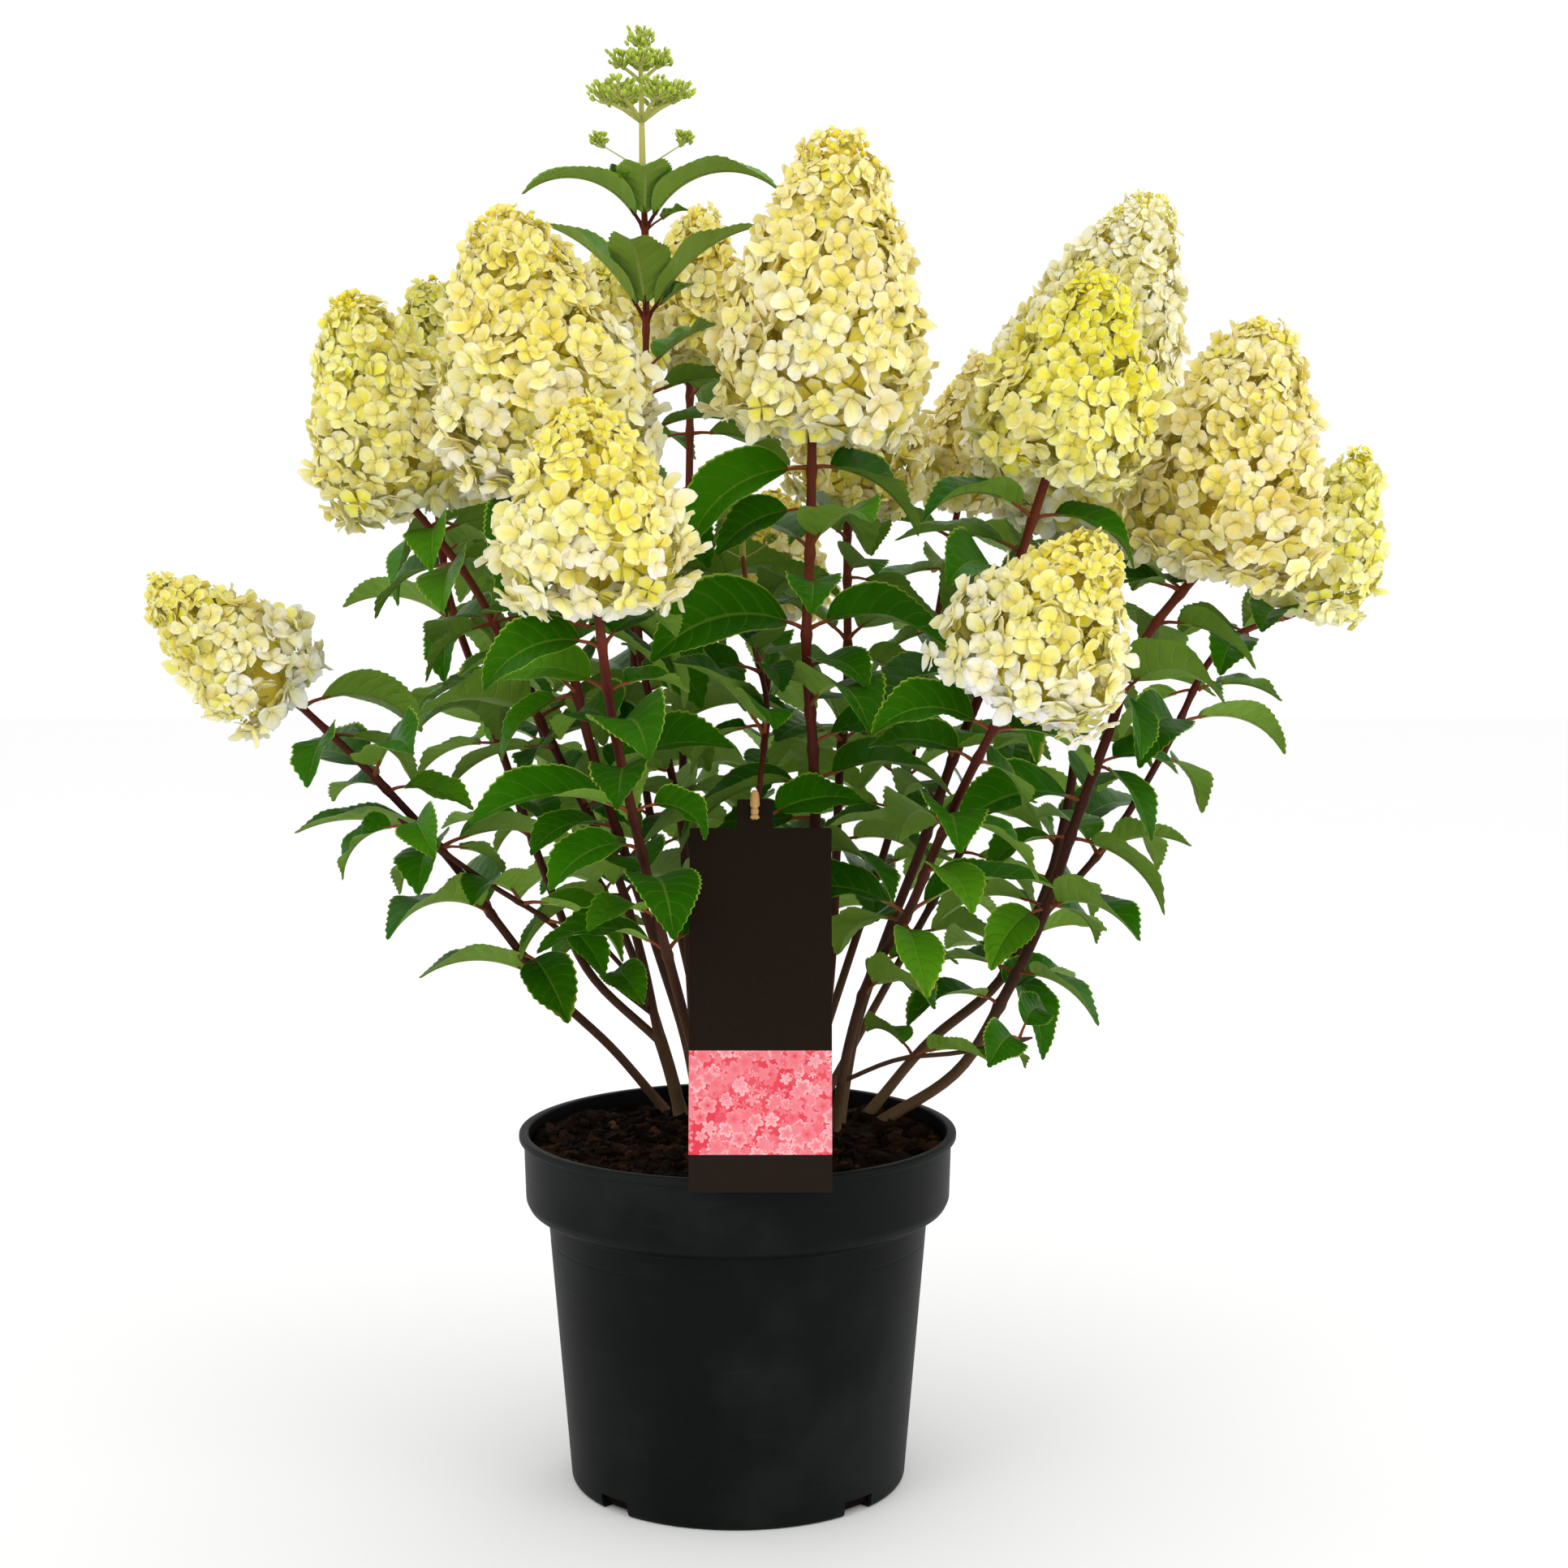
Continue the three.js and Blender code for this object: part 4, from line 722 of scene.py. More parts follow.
def even_line(line, step):
    pieces = max(3, math.floor(lengths_of(line)[-1] / step + 0.5))
    return np.array([along(line, index / pieces) for index in range(pieces + 1)])


class Shoot:
    """A cane with its line in the solids, a finer line and the frame of its head."""

    def __init__(self, plan, order):
        self.plan = plan
        self.order = order
        self.rooted = plan.path[0][2] == SOIL_LEVEL
        self.line = even_line(smooth_line(plan.path, CURVE_STEPS), SHOOT_STEP)
        self.fine = smooth_line(self.line, FINE_STEPS)
        self.head = plan.head and Head(plan.head, np.array(plan.path[-1], float), order)


class Head:
    """The space of a flower head: its axis, its length and the two ways across it."""

    def __init__(self, plan, foot, order):
        self.name = plan.name
        self.order = order
        self.radius = plan.radius
        self.lean = plan.lean
        self.bud = plan.bud
        self.colours = (plan.tip, plan.foot)
        apex = np.array(plan.apex, float)
        self.axis = unit(apex - foot)
        self.base = foot + self.axis * HEAD_GAP
        self.length = np.linalg.norm(apex - self.base)
        self.across = -unit(BACK - self.axis * BACK.dot(self.axis))
        self.other = np.cross(self.axis, self.across)

    def middle(self, share):
        return self.base + self.axis * self.length * share

    def around(self, angle):
        return self.across * math.cos(angle) + self.other * math.sin(angle)

    def point(self, angle, height, radius):
        sag = self.lean * math.sin(math.pi * min(1, max(0, height / self.length)) ** 0.8)
        return self.base + self.axis * height + self.around(angle) * radius - np.array([sag, 0, 0])

    def width(self, share):
        shares, widths = zip(*HEAD_SHAPE)
        return np.interp(share, shares, widths)


@dataclass
class Leaf:
    """A leaf that rises from its shoot and arches over. Its angles are in radians."""
    root: np.ndarray
    length: float
    way: float
    rise: float
    bend: float
    roll: float
    fold: float
    node: int
    young: float = 0.0

    def frame(self, distance):
        """The point on the midrib at a distance from the root, with its side and its normal."""
        distance = np.asarray(distance, float)[..., None]
        curl = self.bend / self.length
        slope = self.rise - curl * distance
        ahead = np.array([math.cos(self.way), math.sin(self.way), 0])
        side = np.array([-math.sin(self.way), math.cos(self.way), 0])
        point = self.root + ahead * (math.sin(self.rise) - np.sin(slope)) / curl
        point = point + UP * (np.cos(slope) - math.cos(self.rise)) / curl
        normal = UP * np.cos(slope) - ahead * np.sin(slope)
        turned = side * math.cos(self.roll) + normal * math.sin(self.roll)
        return point, turned, normal * math.cos(self.roll) - side * math.sin(self.roll)


def facing_roll(root, way):
    """The roll, in degrees, that turns a leaf's face out from the middle of the plant."""
    return -LEAF_FACING * math.sin(math.atan2(root[1], root[0]) - math.radians(way))


def leaf_wishes(shoot):
    """The leaves that a shoot would bear, in the order in which they grow."""
    plan = shoot.plan
    places = []
    for index, (at, ways, length) in enumerate(plan.whorls):
        places += [(at, way, length, WHORL_NODE + index, place) for place, way in enumerate(ways)]
    for pair in range(plan.pairs):
        share = pair / (plan.pairs - 1) if plan.pairs > 1 else 0
        at = lerp(plan.leafy[1], plan.leafy[0], share)
        length = plan.leaf * (TOP_LEAF if pair == 0 else 1) * (LOW_LEAF if share > 0.9 else 1)
        places += [(at, plan.turn + 90 * pair + 180 * place, length, pair, place) for place in range(2)]
    for at, way, length, node, place in places:
        varied = {
            part: spread(shoot.order, node, place + salt, reach)
            for part, (salt, reach) in LEAF_VARIES.items()
        }
        yield {
            "at": at, "node": node, "way": way + varied["way"], "length": length * (1 + varied["length"]),
            "rise": LEAF_RISE + varied["rise"], "bend": LEAF_BEND + varied["bend"],
            "roll": varied["roll"], "fold": LEAF_FOLD + varied["fold"],
        }


def grown_leaf(wish, shoot, corners):
    """The leaf as the solids hold it: of its possible ways, droops and sizes, the one whose tip is there."""
    root = along(shoot.line, wish["at"])
    for size, droop, turn in product(LEAF_SIZES, LEAF_DROOPS, LEAF_TURNS):
        way = wish["way"] + turn
        roll = wish["roll"] + facing_roll(root, way)
        degrees = (way, wish["rise"] - droop, wish["bend"] + droop * DROOP_BEND, roll, wish["fold"])
        leaf = Leaf(root, wish["length"] * size, *map(math.radians, degrees), wish["node"])
        if corners.find(Vector(leaf.frame(leaf.length)[0]))[2] < SAME_PLACE:
            return leaf
    return None


# What new leaves keep clear of: the heads, the view of the label and its peg, and the pot
HEAD_BERTH = 1.05
HEAD_FOOT_BERTH = 4
CARD_SIGHT = 50
CARD_SIGHT_TOP = 440
CARD_BERTH = 8
LIP_BERTH = 6
RIM_BERTH = 12
PEG_SIGHT = 30
PEG_FRONT = 50
PEG_TRIES = 3
SHORT_BEND = 1.1


class Thicket:
    """What new leaves must keep clear of: the leaves that have grown, the heads, the label and the pot."""

    def __init__(self):
        self.spots = []
        self.heads = heads()

    def add(self, leaf):
        self.spots.append(leaf_spots(leaf))

    def clearance(self, leaf):
        """The room round a leaf, or 0 where it would hide the label or touch the pot."""
        spots = leaf_spots(leaf)[2:]
        others = np.vstack(self.spots)
        gap = np.sqrt(((spots[:, None] - others[None]) ** 2).sum(axis=-1)).min()
        for head in self.heads:
            offset = spots - head.base
            heights = offset @ head.axis
            aside = np.linalg.norm(offset - heights[:, None] * head.axis, axis=-1) - head.radius * HEAD_BERTH
            outside = np.maximum(aside, np.maximum(-heights - HEAD_FOOT_BERTH, heights - head.length))
            gap = min(gap, outside.min())
        before_card = (np.abs(spots[:, 0] - CARD_FOOT[0]) < CARD_SIGHT) & (spots[:, 2] < CARD_SIGHT_TOP)
        front = CARD_FOOT[1] + (spots[:, 2] - CARD_FOOT[2]) * math.tan(CARD_LEAN) + CARD_BERTH
        if (before_card & (spots[:, 1] < front)).any():
            return 0
        over_pot = np.linalg.norm(spots[:, :2], axis=-1) < LIP_RADIUS + LIP_BERTH
        return 0 if (over_pot & (spots[:, 2] < POT_HEIGHT + RIM_BERTH)).any() else gap


def leaf_spots(leaf):
    """Points over a leaf: its midrib and both of its margins."""
    blade = leaf.length - PETIOLE
    distances = PETIOLE + np.array([0, 0.2, 0.4, 0.6, 0.8, 1.0]) * blade
    point, side, normal = leaf.frame(distances)
    half = np.array([0.1, 0.9, 1, 0.85, 0.5, 0])[:, None] * FULL_WIDTH * leaf.length
    margins = [
        point + hand * side * half * math.cos(leaf.fold) + normal * half * math.sin(leaf.fold)
        for hand in (-1, 1)
    ]
    return np.stack([point, *margins], axis=1).reshape(-1, 3)


def hides_peg(leaf):
    spots = leaf_spots(leaf)
    beside = np.abs(spots[:, 0] - CARD_FOOT[0]) < PEG_VIEW
    level = np.abs(spots[:, 2] - PEG_LEVEL) < PEG_SIGHT
    return (beside & level & (spots[:, 1] < CARD_FOOT[1] + PEG_FRONT)).any()


FILL_LENGTHS = (0.62, 0.86)
FILL_TURN = 45
FILL_TURNS = range(-80, 100, 20)
FILL_DROOPS = (0, 25)
FILL_RISE = 34
FILL_BEND = 70
FILL_FOLD = 20
FILL_NODE = 20
LOW_LEVEL = 450
LOW_SPAN = 150


def fill_leaf(shoot, thicket, index, place, at):
    """The smaller leaf with the most room at one place on a shoot, or None where there is too little."""
    plan, root = shoot.plan, along(shoot.line, at)
    best, most = None, FILL_GAP + LOW_GAP * float(smooth((LOW_LEVEL - root[2]) / LOW_SPAN))
    length = plan.leaf * lerp(*FILL_LENGTHS, chance(shoot.order, index, place + 3))
    for turn, droop in product(FILL_TURNS, FILL_DROOPS):
        way = plan.turn + FILL_TURN + 90 * index + 180 * place + turn
        degrees = (
            way, FILL_RISE - droop + spread(index, place, 5, 10), FILL_BEND + spread(index, place, 6, 14),
            spread(shoot.order, index, place, 14) + facing_roll(root, way), FILL_FOLD,
        )
        leaf = Leaf(root, length, *map(math.radians, degrees), index + FILL_NODE)
        room = thicket.clearance(leaf)
        if room > most:
            best, most = leaf, room
    return best


def fill_leaves(shoot, thicket):
    """Smaller leaves between the pairs of a shoot, wherever the thicket leaves room for them."""
    low, high = shoot.plan.leafy
    if high <= low:
        return []
    count = max(1, round((high - low) * lengths_of(shoot.line)[-1] / FILL_STEP))
    leaves = []
    for index, place in product(range(count), range(2)):
        leaf = fill_leaf(shoot, thicket, index, place, lerp(high, low, (index + 0.5) / count))
        if leaf:
            thicket.add(leaf)
            leaves.append(leaf)
    return leaves


def corners_of(node):
    """The corners of a solid, in millimetres, ready to be searched."""
    points = np.unique(np.round(points_of(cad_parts[node].data) / MM, 3), axis=0)
    tree = KDTree(len(points))
    for index, point in enumerate(points):
        tree.insert(Vector(point), index)
    tree.balance()
    return tree


def leaves_of(shoot, corners):
    """A shoot's grown leaves, shorter where they would hide the peg, with the tall shoot's own upper ones."""
    leaves = [grown_leaf(wish, shoot, corners) for wish in leaf_wishes(shoot)]
    leaves = [leaf for leaf in leaves if leaf]
    for leaf, _ in product(leaves, range(PEG_TRIES)):
        if hides_peg(leaf):
            leaf.length *= SHORT_LEAF
            leaf.bend *= SHORT_BEND
    if shoot.plan.name == "cane_tall":
        leaves = [leaf for leaf in leaves if leaf.node < WHORL_NODE]
        for height, way, length, rise, bend, young in TALL_LEAVES:
            root = np.array([np.interp(height, shoot.fine[:, 2], shoot.fine[:, axis]) for axis in range(3)])
            degrees = (way, rise, bend, spread(way, 1, 2, 8), LEAF_FOLD)
            leaves.append(Leaf(root, length, *map(math.radians, degrees), WHORL_NODE, young))
    return leaves


# Leaf blades

BLADE_ROWS = 34
SMALL_BLADE_ROWS = 22
BLADE_COLUMNS = (-1, -0.55, -0.08, 0, 0.08, 0.55, 1)
BLADE_OUTLINE = (
    (0, 0.1), (0.06, 0.5), (0.15, 0.82), (0.3, 1), (0.45, 1), (0.6, 0.86), (0.75, 0.6), (0.87, 0.33),
    (0.95, 0.13), (1, 0),
)
BLADE_THICKNESS = 0.25
FULL_WIDTH = 0.232
TOOTH_REACH = 1.0
TOOTH_LEAN = 0.55
VEIN_PAIRS = 8
VEIN_LEAN = 0.17
QUILTING = 0.5
RIB_SINK = 0.35
WORN_BELOW = 300


def blade_faces(rows):
    """The faces of a blade: its top, its underside, its tip and its cut base. They share the margin."""
    columns = len(BLADE_COLUMNS)
    top = np.arange(rows * columns).reshape(rows, columns)
    low = top.copy()
    inner = columns - 2
    low[:, 1:-1] = top.size + np.arange(rows * inner).reshape(rows, inner)
    tip = top.size + rows * inner
    faces = []
    under = []
    for row in range(rows - 1):
        for column in range(columns - 1):
            for sheet, below in ((top, 0), (low, 1)):
                a, b = sheet[row, column:column + 2]
                d, c = sheet[row + 1, column:column + 2]
                faces.append((a, b, c, d) if below else (a, d, c, b))
                under.append(below)
    for column in range(columns - 1):
        for sheet, below in ((top, 0), (low, 1)):
            a, b = sheet[-1, column:column + 2]
            faces.append((a, b, tip) if below else (a, tip, b))
            under.append(below)
        a, b, c, d = top[0, column], top[0, column + 1], low[0, column + 1], low[0, column]
        faces.append(tuple(dict.fromkeys((a, b, c, d))))
        under.append(1)
    return [tuple(int(corner) for corner in face) for face in faces], np.array(under, float), rows


def blade_outline():
    outline = smooth_line([(share, width, 0) for share, width in BLADE_OUTLINE], 8)
    return outline[:, 0], np.maximum(outline[:, 1], 0)


def add_blade(strip, leaf, template, outline):
    """A leaf's blade with its fold, its quilting between the veins, its waves and its saw teeth."""
    faces, under, rows = template
    rng = np.random.default_rng(abs(int(leaf.root.sum() * 97 + leaf.length * 1013)) + leaf.node)
    blade, width = leaf.length - PETIOLE, FULL_WIDTH * leaf.length
    shares, reaches = np.meshgrid(np.arange(rows) / rows, BLADE_COLUMNS, indexing="ij")
    sides = np.abs(reaches)
    half = np.interp(shares, *outline) * width * rng.uniform(0.94, 1.06)
    tooth = (sides > 0.99) * (np.arange(rows) % 2)[:, None]
    tooth = tooth * smooth(shares / 0.12) * (1 - 0.4 * smooth(shares * 2 - 1))
    across = reaches * half + np.sign(reaches) * tooth * TOOTH_REACH
    point, side, normal = leaf.frame(PETIOLE + shares * blade + tooth * TOOTH_LEAN * blade / rows)
    waves, sway, twist = rng.uniform(0.8, 2.3), rng.uniform(-2.6, 2.6), rng.uniform(-0.22, 0.22)
    turns, phase = rng.uniform(1.4, 2.4), rng.uniform(0, 6.3, 2)
    drop = rng.uniform(0, 4)
    quilt = np.sin(2 * math.pi * VEIN_PAIRS * (shares - VEIN_LEAN * sides ** 1.5))
    above = QUILTING * quilt * smooth(sides / 0.35) * (1 - sides ** 4) * smooth((1 - shares) / 0.2)
    phases = np.where(reaches > 0, phase[0], phase[1])
    ripple = np.sin(2 * math.pi * turns * shares + phases) * np.sin(math.pi * shares)
    above = above + waves * sides ** 2 * ripple
    above = above + twist * reaches * half * shares - drop * shares ** 3 - RIB_SINK * (reaches == 0)
    soft = 0.05 * width
    lifted = (np.sqrt(across ** 2 + soft ** 2) - soft) * math.sin(leaf.fold) * (1 - 0.25 * shares)
    lateral = across * math.cos(leaf.fold) + sway * np.sin(math.pi * shares)
    top = point + side * lateral[..., None] + normal * (lifted + above)[..., None]
    depth = BLADE_THICKNESS + (sides < 0.05) * (0.3 + 0.9 * (1 - shares)) + (sides == 0.08) * 0.12
    low = (top - normal * depth[..., None])[:, 1:-1]
    end, _, end_normal = leaf.frame(leaf.length)
    points = np.vstack([top.reshape(-1, 3), low.reshape(-1, 3), end - end_normal * drop])
    uv = np.stack([0.5 + 0.5 * reaches, shares], axis=-1)
    uvs = np.vstack([uv.reshape(-1, 2), uv[:, 1:-1].reshape(-1, 2), (0.5, 1)])
    worn = rng.uniform() ** 5 + (0.5 if leaf.root[2] < WORN_BELOW else 0) * rng.uniform()
    values = {"UVMap": uvs, "tint": rng.uniform(), "young": leaf.young, "wear": min(worn, 1)}
    strip.add(points, faces, values, {"under": under, "flagged": 1})


# Stalks

class Lines:
    """Collects lines with a radius and an age at each point, to grow stalks along."""

    def __init__(self):
        self.points = []
        self.edges = []
        self.radii = []
        self.ages = []

    def add(self, line, radii, ages):
        start = len(self.points)
        self.points.extend(np.asarray(line, float))
        self.edges.extend((start + index, start + index + 1) for index in range(len(line) - 1))
        self.radii.extend(np.broadcast_to(radii, len(line)))
        self.ages.extend(np.broadcast_to(ages, len(line)))

    def mesh(self, name):
        mesh = mesh_of(name, self.points, self.edges)
        add_attribute(mesh, "radius", "FLOAT", np.array(self.radii) * MM)
        add_attribute(mesh, "age", "FLOAT", self.ages)
        return mesh


CANE_STEP = 9
LEAST_STEP = 1.2
CANE_SLIMNESS = (0.74, 0.88)
BARK_RISE = 330
OLDEST_BARK = 0.92
GREEN_TIP = 62
GREEN_AGE = 1.27
NODE_SWELLING = 0.26
NODE_REACH = 3.4
NODE_STEPS = (-5, -2.5, 0, 2.5, 5)
SUNK = 8
FLARE = 0.3
FLARE_REACH = 10
SHAFT_SHARES = (0.12, 0.3, 0.5, 0.68)
SHAFT_WIDTHS = (0.85, 0.4)
TIP_REACH = 5
TIP_WIDTH = 0.35


def add_cane(lines, shoot, leaves):
    """A cane with a swelling at each pair of leaves, a flare at the soil and a shaft into its head."""
    plan, head = shoot.plan, shoot.head
    fine_lengths = lengths_of(shoot.fine)
    total = fine_lengths[-1]
    roots = {round(float(leaf.root[2] - shoot.line[0][2]), 1): leaf.root for leaf in leaves}
    shares = list(np.linspace(0, 1, max(4, round(total / CANE_STEP))))
    swollen = []
    for root in sorted(roots.values(), key=lambda root: root[2]):
        swollen.append(fine_lengths[np.argmin(np.linalg.norm(shoot.fine - root, axis=1))])
        shares += [(swollen[-1] + step) / total for step in NODE_STEPS]
    shares = np.unique(np.round(np.clip(shares, 0, 1), 4))
    shares = shares[np.concatenate([[True], np.diff(shares) * total > LEAST_STEP])]
    line = np.array([along(shoot.fine, share) for share in shares])
    lengths = shares * total
    radii = lerp(plan.thick, plan.thin, shares) * lerp(*CANE_SLIMNESS, shares)
    for place in swollen:
        radii = radii * (1 + NODE_SWELLING * np.exp(-((lengths - place) / NODE_REACH) ** 2))
    ages = np.clip((line[:, 2] - SOIL_LEVEL) / BARK_RISE, 0, OLDEST_BARK)
    if shoot.rooted:
        radii = radii * (1 + FLARE * np.exp(-lengths / FLARE_REACH))
        line = np.vstack([line[0] - UP * SUNK, line])
        radii = np.concatenate([radii[:1], radii])
        ages = np.concatenate([ages[:1], ages])
    if head and head.bud:
        green = smooth((line[:, 2] - line[-1, 2] + GREEN_TIP) / GREEN_TIP)
        ages = np.maximum(ages, GREEN_AGE * green)
    elif head:
        line = np.vstack([line, [head.middle(share) for share in SHAFT_SHARES]])
        radii = np.concatenate([radii, np.linspace(*SHAFT_WIDTHS, len(SHAFT_SHARES)) * plan.thin])
        ages = np.concatenate([ages, np.ones(len(SHAFT_SHARES))])
    else:
        line = np.vstack([line, line[-1] + unit(line[-1] - line[-2]) * TIP_REACH])
        radii = np.concatenate([radii, [plan.thin * TIP_WIDTH]])
        ages = np.concatenate([ages, ages[-1:]])
    lines.add(line, radii, ages)


# A leaf's stalk, point by point: how far it is from the cane, its radius and how deep it lies in the midrib
PETIOLE_STEPS = np.array([0.5, 3, 7.5, 13, 18])
PETIOLE_RADII = np.array([2.0, 1.45, 1.15, 1.05, 0.7])
PETIOLE_SINK = np.array([0, 0, 0, 0.4, 0.55])
USUAL_LEAF = 90
STALK_AGE = 1.2


def add_petiole(lines, leaf):
    """A leaf's stalk, thick where it leaves the cane, which runs on into the midrib."""
    point, _, normal = leaf.frame(PETIOLE_STEPS)
    radii = PETIOLE_RADII * min(1, 0.35 + 0.65 * leaf.length / USUAL_LEAF)
    lines.add(point - normal * PETIOLE_SINK[:, None], radii, STALK_AGE - 0.35 * leaf.young)


# Florets

PETALS = 4
PETAL_ROWS = (0.05, 0.36, 0.70, 0.95)
PETAL_WIDTHS = (0.12, 0.41, 0.48, 0.3)
PETAL_COLUMNS = (-1, 0, 1)
PETAL_TIP = (-0.05, 0.05, -0.05)
BALL_RING = 0.8


def add_ball(strip, middle, radius, sides, uv, stretch):
    """A small closed ball: a point at each pole and two rings between them."""
    rings = [ring_points(BALL_RING, sides, height * stretch) for height in (-0.5, 0.5)]
    points = np.vstack([(0, 0, -stretch), *rings, (0, 0, stretch)])
    faces = []
    top = 1 + 2 * sides
    for side in range(sides):
        after = (side + 1) % sides
        faces.append((0, 1 + after, 1 + side))
        faces.append((1 + side, 1 + after, 1 + sides + after, 1 + sides + side))
        faces.append((1 + sides + side, 1 + sides + after, top))
    strip.add(np.array(middle) + points * radius, faces, {"UVMap": [uv]})


def add_stud(strip, middle, radius, uv):
    """A small pointed stud with four sides."""
    points = np.array([(1, 0, 0), (0, 1, 0), (-1, 0, 0), (0, -1, 0), (0, 0, 1), (0, 0, -1)], float)
    faces = []
    for side in range(4):
        after = (side + 1) % 4
        faces += [(side, after, 4), (after, side, 5)]
    strip.add(np.array(middle) + points * radius, faces, {"UVMap": [uv]})


def petal_faces():
    """A petal's faces: four rows of three points, and two more points below them for its underside."""
    grid = np.arange(12).reshape(4, 3)
    low = grid.copy()
    low[1:3, 1] = (12, 13)
    faces = []
    for row in range(3):
        for column in range(2):
            for sheet, below in ((grid, 0), (low, 1)):
                a, b = sheet[row, column:column + 2]
                d, c = sheet[row + 1, column:column + 2]
                faces.append(tuple(int(corner) for corner in ((d, c, b, a) if below else (a, b, c, d))))
    return faces


def floret_mesh(name, seed, width=1.0, cup=0.18, uneven=0.08, pitch=0.28):
    """An open floret of one unit in radius, its middle at the origin and its face upwards."""
    rng = np.random.default_rng(seed)
    strip = Strip()
    faces = petal_faces()
    rows = np.arange(4)[:, None] + np.zeros((1, 3))
    columns = np.array(PETAL_COLUMNS)[None, :] + np.zeros((4, 1))
    for petal in range(PETALS):
        length = 1 - rng.uniform(0, 2 * uneven)
        y = np.array(PETAL_ROWS)[:, None] + np.zeros((1, 3))
        y[3] += PETAL_TIP
        y = y * length + rng.uniform(-0.02, 0.02, (4, 3)) * (rows == 3)
        x = np.array(PETAL_WIDTHS)[:, None] * width * rng.uniform(0.92, 1.08) * columns
        x = x + rng.uniform(-0.04, 0.04) * rows
        z = cup * rng.uniform(-0.4, 2.2) * y ** 2 + (0.06 if petal % 2 else -0.02)
        z = z + y * rng.uniform(-0.4, 1.0) * pitch
        z = z + 0.13 * rng.uniform(-0.6, 1.7) * columns ** 2 * (rows > 0)
        z = z + columns * rng.uniform(-0.13, 0.13) * y
        z = z + rng.uniform(-0.06, 0.06, (4, 3)) * (rows > 1)
        z = z - 0.12 * rng.uniform(-0.2, 1.3) * (rows == 3)
        top = np.stack([x, y, z], axis=-1)
        low = top[1:3, 1] - (0, 0, 0.04)
        angle = 2 * math.pi * petal / PETALS + rng.uniform(-0.12, 0.12)
        turned = np.array(Matrix.Rotation(angle, 3, "Z"))
        points = np.vstack([top.reshape(-1, 3), low]) @ turned.T
        uv = np.stack([0.5 + 0.5 * columns, np.clip(y, 0.05, 1)], axis=-1)
        strip.add(points, faces, {"UVMap": np.vstack([uv.reshape(-1, 2), uv[1:3, 1]])})
    add_stud(strip, (0, 0, 0.07), 0.1, (0.5, 0.0))
    return strip.mesh(name)


def inner_mesh(name, seed):
    """A plainer floret for the depth of a head, of four bent petals."""
    rng = np.random.default_rng(seed)
    strip = Strip()
    for petal in range(PETALS):
        lift = rng.uniform(0, 0.25)
        points = np.array([
            (0, 0.04, 0), (0.48, 0.6, lift + 0.06), (0.24, 0.97, lift - 0.08), (-0.24, 1, lift),
            (-0.48, 0.62, lift), (0, 0.6, lift - 0.1), (0, 0.6, lift - 0.14),
        ])
        faces = [(5, side, (side + 1) % 5) for side in range(5)]
        faces += [(6, (side + 1) % 5, side) for side in range(5)]
        turned = np.array(Matrix.Rotation(2 * math.pi * petal / PETALS + rng.uniform(-0.1, 0.1), 3, "Z"))
        uv = np.stack([0.5 + points[:, 0], np.clip(points[:, 1], 0.05, 1)], axis=-1)
        strip.add(points @ turned.T, faces, {"UVMap": uv})
    return strip.mesh(name)


def fertile_mesh(name, seed):
    """A tuft of tiny fertile flowers."""
    rng = np.random.default_rng(seed)
    strip = Strip()
    for place in range(7):
        angle = place * GOLDEN_ANGLE
        radius = 0.2 * math.sqrt(place)
        middle = (radius * math.cos(angle), radius * math.sin(angle), rng.uniform(0.05, 0.3))
        add_ball(strip, middle, rng.uniform(0.1, 0.16), 4, (0.5, 0.0), 1.2)
    return strip.mesh(name)


def closed_mesh(name):
    """A floret that hasn't opened."""
    strip = Strip()
    add_ball(strip, (0, 0, 0), 1.0, 6, (0.5, 0.25), 0.85)
    return strip.mesh(name)


def facing_turn(normal, spin):
    """The Euler turn that faces a shape's top along the normal and spins it about that."""
    helper = np.array([0.0, 0.0, 1.0]) if abs(normal[2]) < 0.9 else np.array([1.0, 0.0, 0.0])
    side = unit(np.cross(helper, normal))
    turned = Matrix((side, np.cross(normal, side), normal)).transposed()
    return tuple((turned @ Matrix.Rotation(spin, 3, "Z")).to_euler())


FLORET_KINDS = 5
INNER = 5
FERTILE = 6
CLOSED = 7
FERTILE_SIZE = 6.5
CLOSED_SIZES = (1.5, 2.6)
# The layers of a head from its face inwards: how far out, how crowded, and a factor on the colours, which in
# the two inner layers is a painted shade that turns them deeper and yellower
LAYERS = (
    (1.0, 1.0, (0.985, 0.98, 1.12)),
    (0.88, 0.72, (1.08, 1.0, 0.34)),
    (0.72, 0.12, (1.08, 0.94, 0.16)),
)
# The painted shade of a floret that sits sunk, which its tone takes on as far as it is sunk
SUNK_PAINTED_SHADE = np.array([1.02, 0.95, 0.45])
UNDER_SHARE = 0.14
TILT = 0.4
INNER_TILT = 0.3
HEAD_SHAPE = (
    (0, 0.74), (0.1, 0.95), (0.24, 1.03), (0.45, 0.9), (0.7, 0.64), (0.88, 0.4), (0.96, 0.28), (1, 0.15),
)
FLORET_SIZES = ((0, 1.02), (0.5, 0.92), (0.85, 0.72), (1, 0.42))
USUAL_RADIUS = 52
SHARE_STEPS = 60
ANGLE_JITTER = 0.06
HEIGHT_JITTER = 2.5
SIZE_JITTER = (0.82, 1.12)
PROUD = 1.5
SUNK_DEPTH = 6
FOOT_SHARE = 0.16
FOOT_HANG = 3.6
FOOT_RAGGED = (-3, 4)
TIP_SHARE = 0.9
CLOSED_SHARE = 0.4
FERTILE_SHARE = 0.25
TONE_BREAK = 0.16
TONE_REACH = 1.25
TONE_JITTER = (0.97, 1.12)
GREEN_JITTER = (-0.03, 0.05)
FLORET_STALK = (0.75, 0.6, 0.45)
FLORET_STALK_AGE = 1.35


